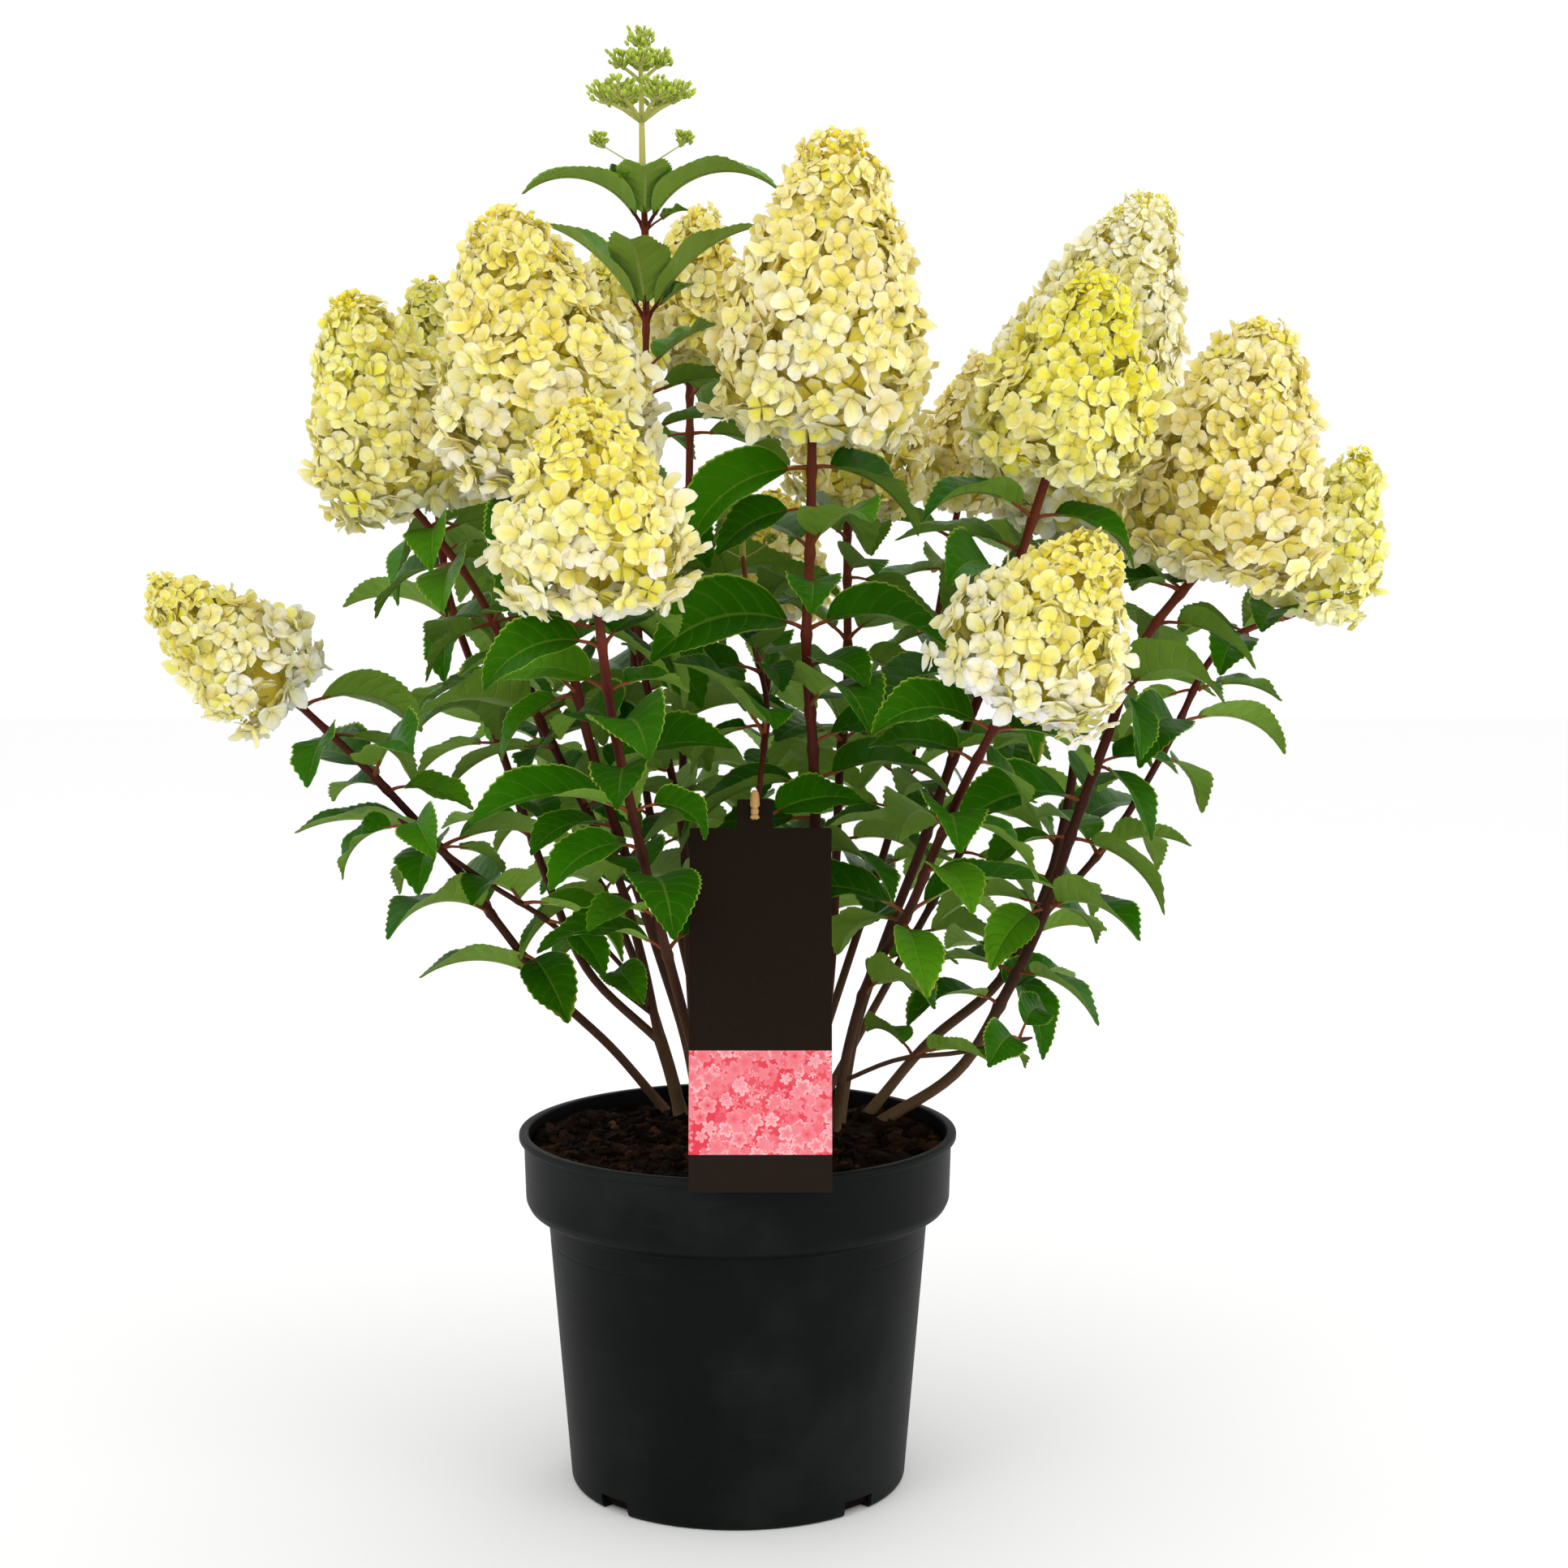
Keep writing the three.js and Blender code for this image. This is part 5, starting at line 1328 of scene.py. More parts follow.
class Cluster:
    """Collects the points on which small shapes are placed."""

    def __init__(self):
        self.points = []
        self.turns = []
        self.sizes = []
        self.kinds = []
        self.tones = []

    def add(self, point, normal, spin, size, kind, tone):
        self.points.append(point)
        self.turns.append(facing_turn(unit(np.asarray(normal, float)), spin))
        self.sizes.append(size)
        self.kinds.append(kind)
        self.tones.append((*tone, 1.0))

    def mesh(self, name):
        mesh = mesh_of(name, self.points)
        add_attribute(mesh, "turn", "FLOAT_VECTOR", self.turns)
        add_attribute(mesh, "size", "FLOAT", self.sizes)
        add_attribute(mesh, "kind", "INT", self.kinds)
        add_attribute(mesh, "tone", "FLOAT_COLOR", self.tones)
        return mesh


class Bloom:
    """An open head in the making: its florets and the stalks that bear them."""

    def __init__(self, head, width, crowding):
        self.head = head
        self.width = width * (0.86 + 0.14 * min(1.15, head.radius / USUAL_RADIUS))
        self.rng = np.random.default_rng(SEED + head.order)
        self.lump = self.rng.uniform(0, 6.3, 3)
        self.cluster = Cluster()
        self.stalks = Lines()
        self.shares = np.linspace(0, 1, SHARE_STEPS)
        outline = [head.radius * head.width(share) for share in self.shares]
        self.slopes = np.gradient(outline, self.shares * head.length)
        weights = np.array([head.width(share) / self.floret_size(share) ** 2 for share in self.shares])
        self.crowds = np.concatenate([[0], np.cumsum((weights[1:] + weights[:-1]) / 2)])
        area = self.crowds[-1] / (SHARE_STEPS - 1) * head.length * 2 * math.pi * head.radius
        self.count = round(area * crowding)

    def floret_size(self, share):
        return self.width * float(np.interp(share, *zip(*FLORET_SIZES)))

    def lumps(self, angle, share):
        """How far the head swells or shrinks from its even shape."""
        broad = 0.05 * math.sin(2 * angle + self.lump[0] + 5 * share)
        return 1 + broad + 0.04 * math.sin(5 * angle + self.lump[1] + 9 * share)

    def tone(self, share, angle):
        """A floret's colour: the head's colours from foot to tip, broken up a little."""
        tip, foot = np.array(self.head.colours)
        broken = share + TONE_BREAK * math.sin(angle * 2 + self.head.order)
        broken += self.rng.uniform(-TONE_BREAK, TONE_BREAK)
        tone = lerp(foot, tip, float(smooth(broken * TONE_REACH))) * self.rng.uniform(*TONE_JITTER)
        greener = self.rng.uniform(*GREEN_JITTER)
        return np.clip(tone * (1 - greener, 1, 1 - 2 * greener), 0, 1)

    def add_layer(self, depth, crowd, shade):
        """Florets from foot to tip at one depth. Each sits a little sunk or proud and has its own tilt."""
        head, rng, outer = self.head, self.rng, depth == LAYERS[0][0]
        number = round(self.count * crowd)
        for index in range(number):
            share = float(np.interp((index + 0.5) / number * self.crowds[-1], self.crowds, self.shares))
            angle = index * GOLDEN_ANGLE + rng.uniform(-ANGLE_JITTER, ANGLE_JITTER) + head.order + depth * 7
            size = self.floret_size(share) * rng.uniform(*SIZE_JITTER)
            slope = float(np.interp(share, self.shares, self.slopes))
            normal = unit(head.around(angle) - head.axis * slope)
            sunk = rng.uniform()
            surface = head.radius * head.width(share) * depth * self.lumps(angle, share)
            surface += PROUD - SUNK_DEPTH * sunk - size * 0.1
            height = head.length * share + rng.uniform(-HEIGHT_JITTER, HEIGHT_JITTER)
            if share < FOOT_SHARE:
                height -= rng.uniform(0, FOOT_HANG) ** 2
                surface += rng.uniform(*FOOT_RAGGED)
            point = head.point(angle, max(1.0, height), max(2.0, surface))
            scatter = rng.normal(0, TILT if outer else INNER_TILT, 3)
            tilted = unit(normal + scatter - head.axis * 0.3 * (1 - share))
            kind = int(rng.integers(FLORET_KINDS)) if outer else INNER
            radius = size / 2
            if share > TIP_SHARE and rng.uniform() < CLOSED_SHARE:
                kind, radius = CLOSED, rng.uniform(*CLOSED_SIZES)
            elif depth == LAYERS[1][0] and rng.uniform() < FERTILE_SHARE:
                kind, radius = FERTILE, FERTILE_SIZE
            # Painted shade: the layer's factor and the floret's sinking make the tone of deeper florets
            # deeper and yellower
            tone = self.tone(share, angle) * shade * lerp(np.ones(3), SUNK_PAINTED_SHADE, sunk)
            self.cluster.add(point, tilted, rng.uniform(0, 2 * math.pi), radius, kind, np.clip(tone, 0, 1))
            if outer and index % 3 == 0:
                root = head.base + head.axis * max(2.0, height - 0.55 * surface)
                bend = lerp(root, point, 0.55) - head.axis * 1.5
                self.stalks.add([root, bend, point - tilted * 0.6], FLORET_STALK, FLORET_STALK_AGE)

    def add_underside(self):
        """Florets that look down from the foot of the head."""
        head, rng = self.head, self.rng
        for index in range(round(self.count * UNDER_SHARE)):
            angle = index * GOLDEN_ANGLE + head.order * 2
            surface = head.radius * head.width(0) * rng.uniform(0.4, 1.06)
            point = head.point(angle, rng.uniform(-1, 5), surface)
            normal = head.around(angle) * 0.8 - head.axis + rng.normal(0, 0.2, 3)
            tone = self.tone(0.0, angle) * LAYERS[0][2]
            kind = int(rng.integers(FLORET_KINDS))
            self.cluster.add(point, normal, rng.uniform(0, 6), self.floret_size(0) * 0.48, kind, tone)


CORE_WIDTH = 0.47
CORE_SIDES = 14
CORE_ROWS = 9
# The core's painted shade: the factor that makes the head's middle colour deeper and yellower
CORE_PAINTED_SHADE = np.array([1.0, 0.9, 0.3])


def core_mesh(head):
    """The dense middle of a head, which closes the gaps between its florets. Its tone, deeper and yellower
    than the head's, is a painted shade of that depth.
    """
    rng = np.random.default_rng(SEED * 3 + head.order)
    points = []
    for row in range(CORE_ROWS):
        share = 0.03 + 0.9 * row / (CORE_ROWS - 1)
        for side in range(CORE_SIDES):
            angle = 2 * math.pi * side / CORE_SIDES
            radius = head.radius * head.width(share) * CORE_WIDTH * rng.uniform(0.86, 1.08)
            points.append(head.point(angle, head.length * share + rng.uniform(-2, 2), radius))
    last = (CORE_ROWS - 1) * CORE_SIDES
    ends = [tuple(range(CORE_SIDES))[::-1], tuple(range(last, last + CORE_SIDES))]
    mesh = mesh_of(f"{head.name}_core", points, (), ring_faces(CORE_ROWS, CORE_SIDES) + ends)
    tip, foot = np.array(head.colours)
    shade = lerp(foot, tip, 0.5) * CORE_PAINTED_SHADE
    add_attribute(mesh, "tone", "FLOAT_COLOR", [(*shade, 1.0)] * len(points))
    add_uv(mesh, np.tile((0.5, 0.3), (len(points), 1)))
    return smooth_shaded(mesh)


def bead_mesh(name):
    strip = Strip()
    add_ball(strip, (0, 0, 0), 1.0, 5, (0.5, 0.5), 1.7)
    return strip.mesh(name)


BEADS = 52
BEAD_SIZES = (0.95, 1.5)
BUNCH_WIDTH = 10.5
BUD_STALK_AGE = 1.3
LOW_BUNCH_SLIMNESS = 0.45


def bud_bunches(head):
    """The bunches of a head in bud: the root and the end of each bunch's stalk, and its size."""
    bunches = [(head.middle(0.76), head.middle(0.9), 0.82)]
    for foot, share, reach, count, size in BUD_WHORLS:
        for place in range(count):
            angle = 2 * math.pi * (place / count + 0.25)
            end = head.point(angle, head.length * share, head.radius * reach)
            bunches.append((head.middle(foot), end, size))
    return [(root, end, size * head.radius / BUD_WIDTH) for root, end, size in bunches]


def bud_parts(head, tones):
    """The buds of a head and their stalks: each bunch is a broad, flat-topped spray of short upright buds."""
    rng = np.random.default_rng(SEED * 5 + head.order)
    cluster = Cluster()
    stalks = Lines()
    stalks.add([head.base - head.axis * 3, head.middle(0.86)], [2.1, 1.0], BUD_STALK_AGE)
    for root, end, size in bud_bunches(head):
        width = BUNCH_WIDTH * size
        slim = LOW_BUNCH_SLIMNESS if head.length * 0.1 > (root - head.base) @ head.axis else 1
        bend = lerp(root, end, 0.5) - UP * 1.5
        radii = np.array([1.5, 1.25, 0.9]) * size ** 0.5 * slim
        stalks.add([root, bend, end - UP * width * 0.5], radii, BUD_STALK_AGE)
        branches = [end - UP * width * 0.5 + (end - root) * 0.06 * hub for hub in (-2, 0, 1)]
        for bead in range(round(BEADS * min(1, size + 0.15))):
            turn = bead * GOLDEN_ANGLE + head.order
            spread_out = width * math.sqrt((bead + 0.5) / BEADS) * rng.uniform(0.85, 1.1)
            outward = np.array([math.cos(turn), math.sin(turn), 0])
            level = rng.uniform(-0.5, 0.5) * width
            point = end + outward * spread_out + UP * level
            facing = outward * 0.7 + UP * rng.uniform(0.5, 1.3)
            # Each bud's colour lies at random between the shaded and the lit bud colour: painted light and
            # shade, as well as the buds' own variety
            tone = lerp(np.array(tones[0]), np.array(tones[1]), rng.uniform())
            cluster.add(point, facing, 0.0, rng.uniform(*BEAD_SIZES) * size ** 0.3, 0, tone)
            if bead % 2 == 0:
                fork = branches[bead // 2 % 3]
                stalks.add([fork, lerp(fork, point, 0.55) - UP, point], [0.75, 0.55, 0.4], 1.4)
    return cluster, stalks


# Pot and soil

LIP_DEPTH = 4.5
BAND_RADIUS = 126
BAND_BOTTOM = 171
BODY_TOP = 161
BODY_TOP_RADIUS = 113
FOOT_RADIUS = 100
WALL = 2.6
SEAM_HEIGHT = 147
SEAM_DEPTH = 0.35
POT_SIDES = 128
DRAIN_NOTCHES = 4
NOTCH_WIDTH = 22
NOTCH_HEIGHT = 9
NOTCH_DEPTH = 9
SOIL_GAP = 0.8
SOIL_SIDES = 96
SOIL_RINGS = 34
SOIL_RELIEF = 2.6
SOIL_SINK = 1.4
SOIL_TINT = 0.35
# The waves of the mulch: their run across and away for each millimetre, their phase and their weight
SOIL_WAVES = (
    (0.055, 0.021, 0.4, 1.0), (-0.034, 0.071, 1.9, 0.8), (0.11, -0.05, 3.1, 0.5),
    (0.02, 0.16, 0.7, 0.4), (0.24, 0.13, 2.2, 0.28), (-0.19, 0.31, 4.4, 0.22),
)
# The chips' shapes as length, width and depth
CHIP_SHAPES = ((1, 0.42, 0.2), (1, 0.6, 0.26), (0.9, 0.28, 0.22), (0.7, 0.62, 0.4))
CHIP_DENSITY = 15000
CRUMB_DENSITY = 9000
CHIP_SEED = 3
CHIP_TILT = 0.45
CRUMB_TILT = 0.9
CRUMB_SMALLEST = 2.5


def rounded_profile(corners, radius, steps=4):
    """A profile whose inner corners are replaced by short curves."""
    corners = [np.array(corner, float) for corner in corners]
    line = [corners[0]]
    for before, corner, after in zip(corners, corners[1:], corners[2:]):
        reach = [min(radius, 0.45 * np.linalg.norm(other - corner)) for other in (before, after)]
        start = corner + unit(before - corner) * reach[0]
        end = corner + unit(after - corner) * reach[1]
        for step in range(steps + 1):
            t = step / steps
            line.append(start * (1 - t) ** 2 + corner * 2 * t * (1 - t) + end * t ** 2)
    line.append(corners[-1])
    return line


def body_radius(height):
    return lerp(FOOT_RADIUS, BODY_TOP_RADIUS, (height - 2.5) / (BODY_TOP - 2.5))


def pot_mesh():
    """The container: a tapering body, a deep band, a rolled lip and the notches round its foot."""
    seam = body_radius(SEAM_HEIGHT)
    inner = BAND_RADIUS - WALL
    corners = [
        (0, 0), (FOOT_RADIUS - 1.5, 0), (FOOT_RADIUS, 2.5), (seam - 0.05, SEAM_HEIGHT - 0.8),
        (seam - SEAM_DEPTH, SEAM_HEIGHT), (seam + 0.05, SEAM_HEIGHT + 0.8), (BODY_TOP_RADIUS, BODY_TOP),
        (BAND_RADIUS - 2.5, BAND_BOTTOM - 5), (BAND_RADIUS, BAND_BOTTOM),
        (BAND_RADIUS + 1, POT_HEIGHT - LIP_DEPTH), (LIP_RADIUS, POT_HEIGHT - LIP_DEPTH),
        (LIP_RADIUS, POT_HEIGHT), (inner + 1, POT_HEIGHT), (inner, BAND_BOTTOM),
        (BODY_TOP_RADIUS - WALL, BODY_TOP), (FOOT_RADIUS - WALL, WALL), (0, WALL),
    ]
    points, faces = lathe(rounded_profile(corners, 1.6), POT_SIDES)
    holder = object_of("pot_blank", mesh_of("pot_blank", points, (), faces))
    cutters = []
    for notch in range(DRAIN_NOTCHES):
        cutter = object_of("notch", box_mesh("notch", (NOTCH_DEPTH * 2, NOTCH_WIDTH, NOTCH_HEIGHT * 2), 0))
        turn = Matrix.Rotation(2 * math.pi * (notch + 0.5) / DRAIN_NOTCHES, 4, "Z")
        cutter.data.transform(turn @ Matrix.Translation((FOOT_RADIUS * MM, 0, 0)))
        cut = holder.modifiers.new("Notch", "BOOLEAN")
        cut.operation = "DIFFERENCE"
        cut.solver = "EXACT"
        cut.object = cutter
        cutters.append(cutter)
    mesh = evaluated(holder)
    mesh.name = "pot_moulding"
    discard(holder, *cutters)
    return smooth_shaded(mesh, sharp=40)


def joined_meshes(name, *meshes):
    objects = [object_of(name, mesh) for mesh in meshes]
    with bpy.context.temp_override(
        active_object=objects[0], object=objects[0], selected_objects=objects,
        selected_editable_objects=objects,
    ):
        bpy.ops.object.join()
    joined = objects[0].data
    joined.name = name
    bpy.data.objects.remove(objects[0])
    return joined


def box_mesh(name, size, bevel):
    """A box round the origin, with rounded edges where the bevel isn't 0."""
    shape = bmesh.new()
    bmesh.ops.create_cube(shape, size=1)
    bmesh.ops.scale(shape, vec=[side * MM for side in size], verts=shape.verts)
    if bevel:
        bmesh.ops.bevel(
            shape, geom=shape.edges[:], offset=bevel * MM, segments=3, profile=0.5, affect="EDGES",
        )
    mesh = bpy.data.meshes.new(name)
    shape.to_mesh(mesh)
    shape.free()
    return mesh


def soil_height(x, y):
    """The loose relief of the bark mulch."""
    height = 0
    for across, away, phase, weight in SOIL_WAVES:
        height = height + weight * np.sin(x * across + y * away + phase)
    return SOIL_LEVEL - SOIL_SINK + SOIL_RELIEF * height / 2


def soil_surface():
    """The rings of the mulch's top, from its edge to its middle."""
    edge = BAND_RADIUS - WALL - SOIL_GAP
    rings = [ring_points(edge * (1 - ring / SOIL_RINGS), SOIL_SIDES, 0) for ring in range(SOIL_RINGS)]
    for ring in rings:
        ring[:, 2] = soil_height(ring[:, 0], ring[:, 1])
    return rings


def soil_mesh():
    """The root ball, which fills the pot to just under its lip."""
    inset = WALL + SOIL_GAP
    wall = ((FOOT_RADIUS, inset), (BODY_TOP_RADIUS, BODY_TOP), (BAND_RADIUS, BAND_BOTTOM))
    rings = [ring_points(radius - inset, SOIL_SIDES, height) for radius, height in wall] + soil_surface()
    points = np.vstack([*rings, [(0, 0, inset), (0, 0, soil_height(0, 0))]])
    mesh = smooth_shaded(mesh_of("root_ball", points, (), closed_rings(len(rings), SOIL_SIDES)))
    add_attribute(mesh, "tint", "FLOAT", np.full(len(points), SOIL_TINT))
    return mesh


def soil_top():
    """The open sheet on which the chips are strewn, a little narrower than the mulch."""
    rings = soil_surface()
    return mesh_of("mulch_top", np.vstack(rings) * (0.97, 0.97, 1), (), ring_faces(len(rings), SOIL_SIDES))


def chip_mesh(name, seed, size):
    """A splinter of bark with broken edges, up to 1 mm long."""
    rng = np.random.default_rng(seed)
    length, width, depth = size
    points = []
    for row, share in enumerate((-0.5, -0.2, 0.15, 0.5)):
        shift = rng.uniform(-0.08, 0.08)
        narrow = rng.uniform(0.45, 0.8) if row in (0, 3) else rng.uniform(0.8, 1.1)
        for x, z in ((-0.5, -0.5), (0.5, -0.4), (0.42, 0.5), (-0.1, 0.62), (-0.5, 0.4)):
            points.append((
                x * width * narrow + shift, share * length + rng.uniform(-0.05, 0.05),
                z * depth * rng.uniform(0.7, 1.2),
            ))
    faces = []
    for row in range(3):
        for side in range(5):
            a, b = row * 5 + side, row * 5 + (side + 1) % 5
            faces.append((a, a + 5, b + 5, b))
    faces.append((0, 1, 2, 3, 4))
    faces.append((19, 18, 17, 16, 15))
    return mesh_of(name, points, (), faces)


# Label

CARD_CORNER = 1.2
CARD_BEVEL = 0.12
ARC_STEPS = 5
MERGE_REACH = 0.01
NECK_WIDTH = 20
NECK_LENGTH = 16
NECK_FROM_MIDDLE = -3.2
SLOT_WIDTH = 5.2
SLOT_LENGTH = 7.4
PEG_WIDTH = 4.4
PEG_RAISE = 4.7
PEG_PROFILE = (
    (0, -8), (0.5, -8), (0.6, -7.3), (0.57, -6.3), (0.36, -5.5), (0.5, -4.7), (0.5, -2.7), (0.34, -1.8),
    (0.55, -1.1), (0.62, 0), (0.6, 2.2), (0.53, 5), (0.45, 7), (0.3, 8), (0, 8.1),
)
PEG_HEIGHT = 6.6
PEG_FIT = 0.35
PEG_REACH = 8.75
PANEL_FOOT = 20.6
PANEL_TOP = 77.6
PANEL_EDGE = 0.15


def corner_arc(middle, radius, start):
    """A quarter of a circle that starts at an angle in degrees."""
    angles = [math.radians(start + 90 * step / ARC_STEPS) for step in range(ARC_STEPS + 1)]
    return [(middle[0] + radius * math.cos(a), middle[1] + radius * math.sin(a)) for a in angles]


def flat_shape(name, outlines, thickness, bevel):
    """A flat plate in X and Y with its front at the thickness, and with holes."""
    curve = bpy.data.curves.new(name, "CURVE")
    curve.dimensions = "2D"
    curve.fill_mode = "BOTH"
    curve.extrude = (thickness / 2 - bevel) * MM
    curve.bevel_depth = bevel * MM
    curve.bevel_resolution = 2
    curve.offset = -bevel * MM
    for outline in outlines:
        spline = curve.splines.new("POLY")
        spline.points.add(len(outline) - 1)
        for point, (x, y) in zip(spline.points, outline):
            point.co = (x * MM, y * MM, 0, 1)
        spline.use_cyclic_u = True
    holder = bpy.data.objects.new(name, curve)
    bpy.context.scene.collection.objects.link(holder)
    mesh = evaluated(holder)
    bpy.data.objects.remove(holder)
    bpy.data.curves.remove(curve)
    mesh.name = name
    mesh.transform(Matrix.Translation((0, 0, thickness / 2 * MM)))
    return mesh


def merged(mesh):
    """The mesh with its doubles merged and its faces turned outwards."""
    shape = bmesh.new()
    shape.from_mesh(mesh)
    bmesh.ops.remove_doubles(shape, verts=shape.verts, dist=MERGE_REACH * MM)
    bmesh.ops.recalc_face_normals(shape, faces=shape.faces)
    shape.to_mesh(mesh)
    shape.free()
    return mesh


def card_place():
    """Turns the label from its own plane to where it leans on the pot."""
    foot = Vector(CARD_FOOT) * MM
    return Matrix.Translation(foot) @ Matrix.Rotation(math.pi / 2 - CARD_LEAN, 4, "X")


def card_outline():
    """The card's rounded outline with its narrower neck. Each corner has its place, the way from there to
    its arc's middle, the arc's start, and 1 or -1 for whether the arc runs on or back."""
    half, neck, top = CARD_WIDTH / 2, CARD_LENGTH, CARD_LENGTH + NECK_LENGTH
    left, right = NECK_FROM_MIDDLE - NECK_WIDTH / 2, NECK_FROM_MIDDLE + NECK_WIDTH / 2
    corners = (
        (half, 0, -1, 1, -90, 1), (half, neck, -1, -1, 0, 1), (right, neck, 1, 1, 180, -1),
        (right, top, -1, -1, 0, 1), (left, top, 1, -1, 90, 1), (left, neck, -1, 1, 270, -1),
        (-half, neck, 1, -1, 90, 1), (-half, 0, 1, 1, 180, 1),
    )
    outline = []
    for x, y, aside, up, start, onward in corners:
        middle = (x + aside * CARD_CORNER, y + up * CARD_CORNER)
        outline += corner_arc(middle, CARD_CORNER, start)[::onward]
    return outline


def card_mesh():
    """The plate of the label. Its UVs are its own plane in tenths of a metre, from the middle of its foot."""
    middle = CARD_LENGTH + NECK_LENGTH / 2
    slot = [
        (NECK_FROM_MIDDLE + x * SLOT_WIDTH / 2, middle + y * SLOT_LENGTH / 2)
        for x, y in ((-1, -1), (-1, 1), (1, 1), (1, -1))
    ]
    mesh = merged(flat_shape("card_plate", [card_outline(), slot], CARD_THICKNESS, CARD_BEVEL))
    while mesh.uv_layers:
        mesh.uv_layers.remove(mesh.uv_layers[0])
    add_uv(mesh, points_of(mesh)[:, :2] / MM / 100 + (0.5, 0))
    mesh.transform(card_place())
    mesh.update()
    mesh.shade_flat()
    return mesh


def peg_mesh():
    """The peg: a turned head across the front of the label and a shank that goes through its slot."""
    middle = CARD_LENGTH + NECK_LENGTH / 2
    profile = [(radius * PEG_WIDTH, height) for radius, height in PEG_PROFILE]
    points, faces = lathe(rounded_profile(profile, 0.35, 2), 24)
    head = mesh_of("peg_head", points, (), faces)
    outward = CARD_THICKNESS + PEG_FIT + PEG_WIDTH / 2
    place = Vector((NECK_FROM_MIDDLE, middle + PEG_RAISE, outward)) * MM
    head.transform(Matrix.Translation(place) @ Matrix.Rotation(-math.pi / 2, 4, "X"))
    shank = box_mesh("peg_shank", (PEG_WIDTH * 0.68, PEG_HEIGHT, PEG_REACH), 0.5)
    depth = (-PEG_REACH / 2 + CARD_THICKNESS + 1) * MM
    shank.transform(Matrix.Translation((NECK_FROM_MIDDLE * MM, middle * MM, depth)))
    mesh = joined_meshes("peg_wood", head, shank)
    mesh.transform(card_place())
    return smooth_shaded(mesh, sharp=42)


# Finishes

def shaded(colour, factor):
    return tuple(channel * factor for channel in colour)


def cane_finish(colour):
    """Bark that goes from burgundy on young wood to brown and tan at the soil, with pale specks."""
    finish = Finish("Cane bark", Specular_IOR_Level=0.14)
    age = finish.attribute("age")
    old = finish.ramp(
        age, (0.0, (0.17, 0.10, 0.05)), (0.1, (0.11, 0.056, 0.028)), (0.28, (0.055, 0.021, 0.010)),
        (0.62, (0.058, 0.012, 0.006)), (0.88, tuple(colour)), (1.0, (0.24, 0.058, 0.018)),
    )
    green = finish.mix(old, (0.34, 0.30, 0.09), age.between(1.24, 1.33))
    streaks = finish.noise(1.0, 4.0, 0.6, finish.object_place((520, 520, 46)))
    patches = finish.noise(38.0, 2.0)
    pale = finish.mix(green, (0.20, 0.13, 0.07), streaks.between(0.58, 0.82) * (0.6 - age).clamped() * 0.7)
    dark = finish.mix(pale, (0.02, 0.012, 0.01), patches.between(0.52, 0.75) * 0.3)
    specks = finish.cells(420.0, place=finish.object_place((1, 1, 0.45)))
    spotted = specks.between(0.13, 0.07) * age.between(0.05, 0.3) * age.between(1.15, 1.0)
    base = finish.mix(dark, (0.26, 0.15, 0.09), spotted * 0.4)
    finish.bump(streaks * 0.6 + spotted * 0.5 + patches * 0.3, 0.0006)
    return finish.surface(Base_Color=base, Roughness=0.42 + 0.26 * (1 - age).clamped() + streaks * 0.1)


def leaf_finish(colour, young_colour):
    """A glossy leaf with sunken veins, a thin light margin and a paler underside."""
    finish = Finish(
        "Leaf", Subsurface_Weight=0.1, Subsurface_Radius=(0.0012, 0.002, 0.0003), Specular_IOR_Level=0.15,
        Specular_Tint=(0.65, 0.95, 0.1, 1.0),
    )
    across, along_leaf = finish.uv()
    side = (across - 0.5).math("ABSOLUTE") * 2
    tint, young = finish.attribute("tint"), finish.attribute("young")
    wear, under = finish.attribute("wear"), finish.attribute("under")
    lean = side ** 1.5 * VEIN_LEAN
    phase = ((along_leaf - lean) * VEIN_PAIRS + 0.25).math("FRACT")
    vein_gap = (phase - 0.5).math("ABSOLUTE")
    veins = vein_gap.between(0.055, 0.0) * side.between(0.97, 0.7)
    twigs = ((along_leaf + side * 0.22) * 31).math("FRACT") - 0.5
    small = twigs.math("ABSOLUTE").between(0.12, 0.0) * side.between(0.95, 0.6)
    midrib = side.between(0.075, 0.03)
    ribs = (veins + midrib).math("MINIMUM", 1.0)
    mottle = finish.noise(60.0, 3.0)
    fine = finish.cells(1400.0, "DISTANCE_TO_EDGE")
    net = fine.between(0.09, 0.0)
    dark = shaded(colour, 0.42)
    base = finish.mix(dark, tuple(colour), (tint * 0.6 + mottle * 0.55 - 0.1).clamped())
    base = finish.mix(base, tuple(young_colour), (young * 0.8 + tint.between(0.7, 1.0) * 0.5).clamped())
    base = finish.mix(base, (0.07, 0.19, 0.006), vein_gap.between(0.2, 0.04) * 0.16 + small * 0.08)
    base = finish.mix(base, (0.26, 0.44, 0.05), ribs * (0.24 + young * 0.36))
    base = finish.mix(base, (0.36, 0.52, 0.06), side.between(0.92, 0.99) * 0.8)
    burnt = wear.between(0.6, 1.0) * (side * 0.5 + along_leaf * 0.8 + mottle * 0.5).between(1.2, 1.5)
    base = finish.mix(base, (0.42, 0.40, 0.05), burnt * 0.85)
    base = finish.mix(base, (0.16, 0.06, 0.02), burnt.between(0.7, 1.0) * 0.7)
    pale = finish.mix((0.13, 0.27, 0.02), (0.24, 0.40, 0.055), mottle)
    pale = finish.mix(pale, (0.28, 0.45, 0.08), young * 0.8)
    pale = finish.mix(pale, (0.42, 0.52, 0.17), ribs * (0.45 + young * 0.45))
    base = finish.mix(base, pale, under)
    height = (1 - ribs) * 0.8 + vein_gap * 0.6 - small * 0.15 - net * 0.1 + mottle * 0.2
    finish.bump(height, 0.0009, 0.8)
    return finish.surface(Base_Color=base, Roughness=0.29 + mottle * 0.14 + under * 0.22)


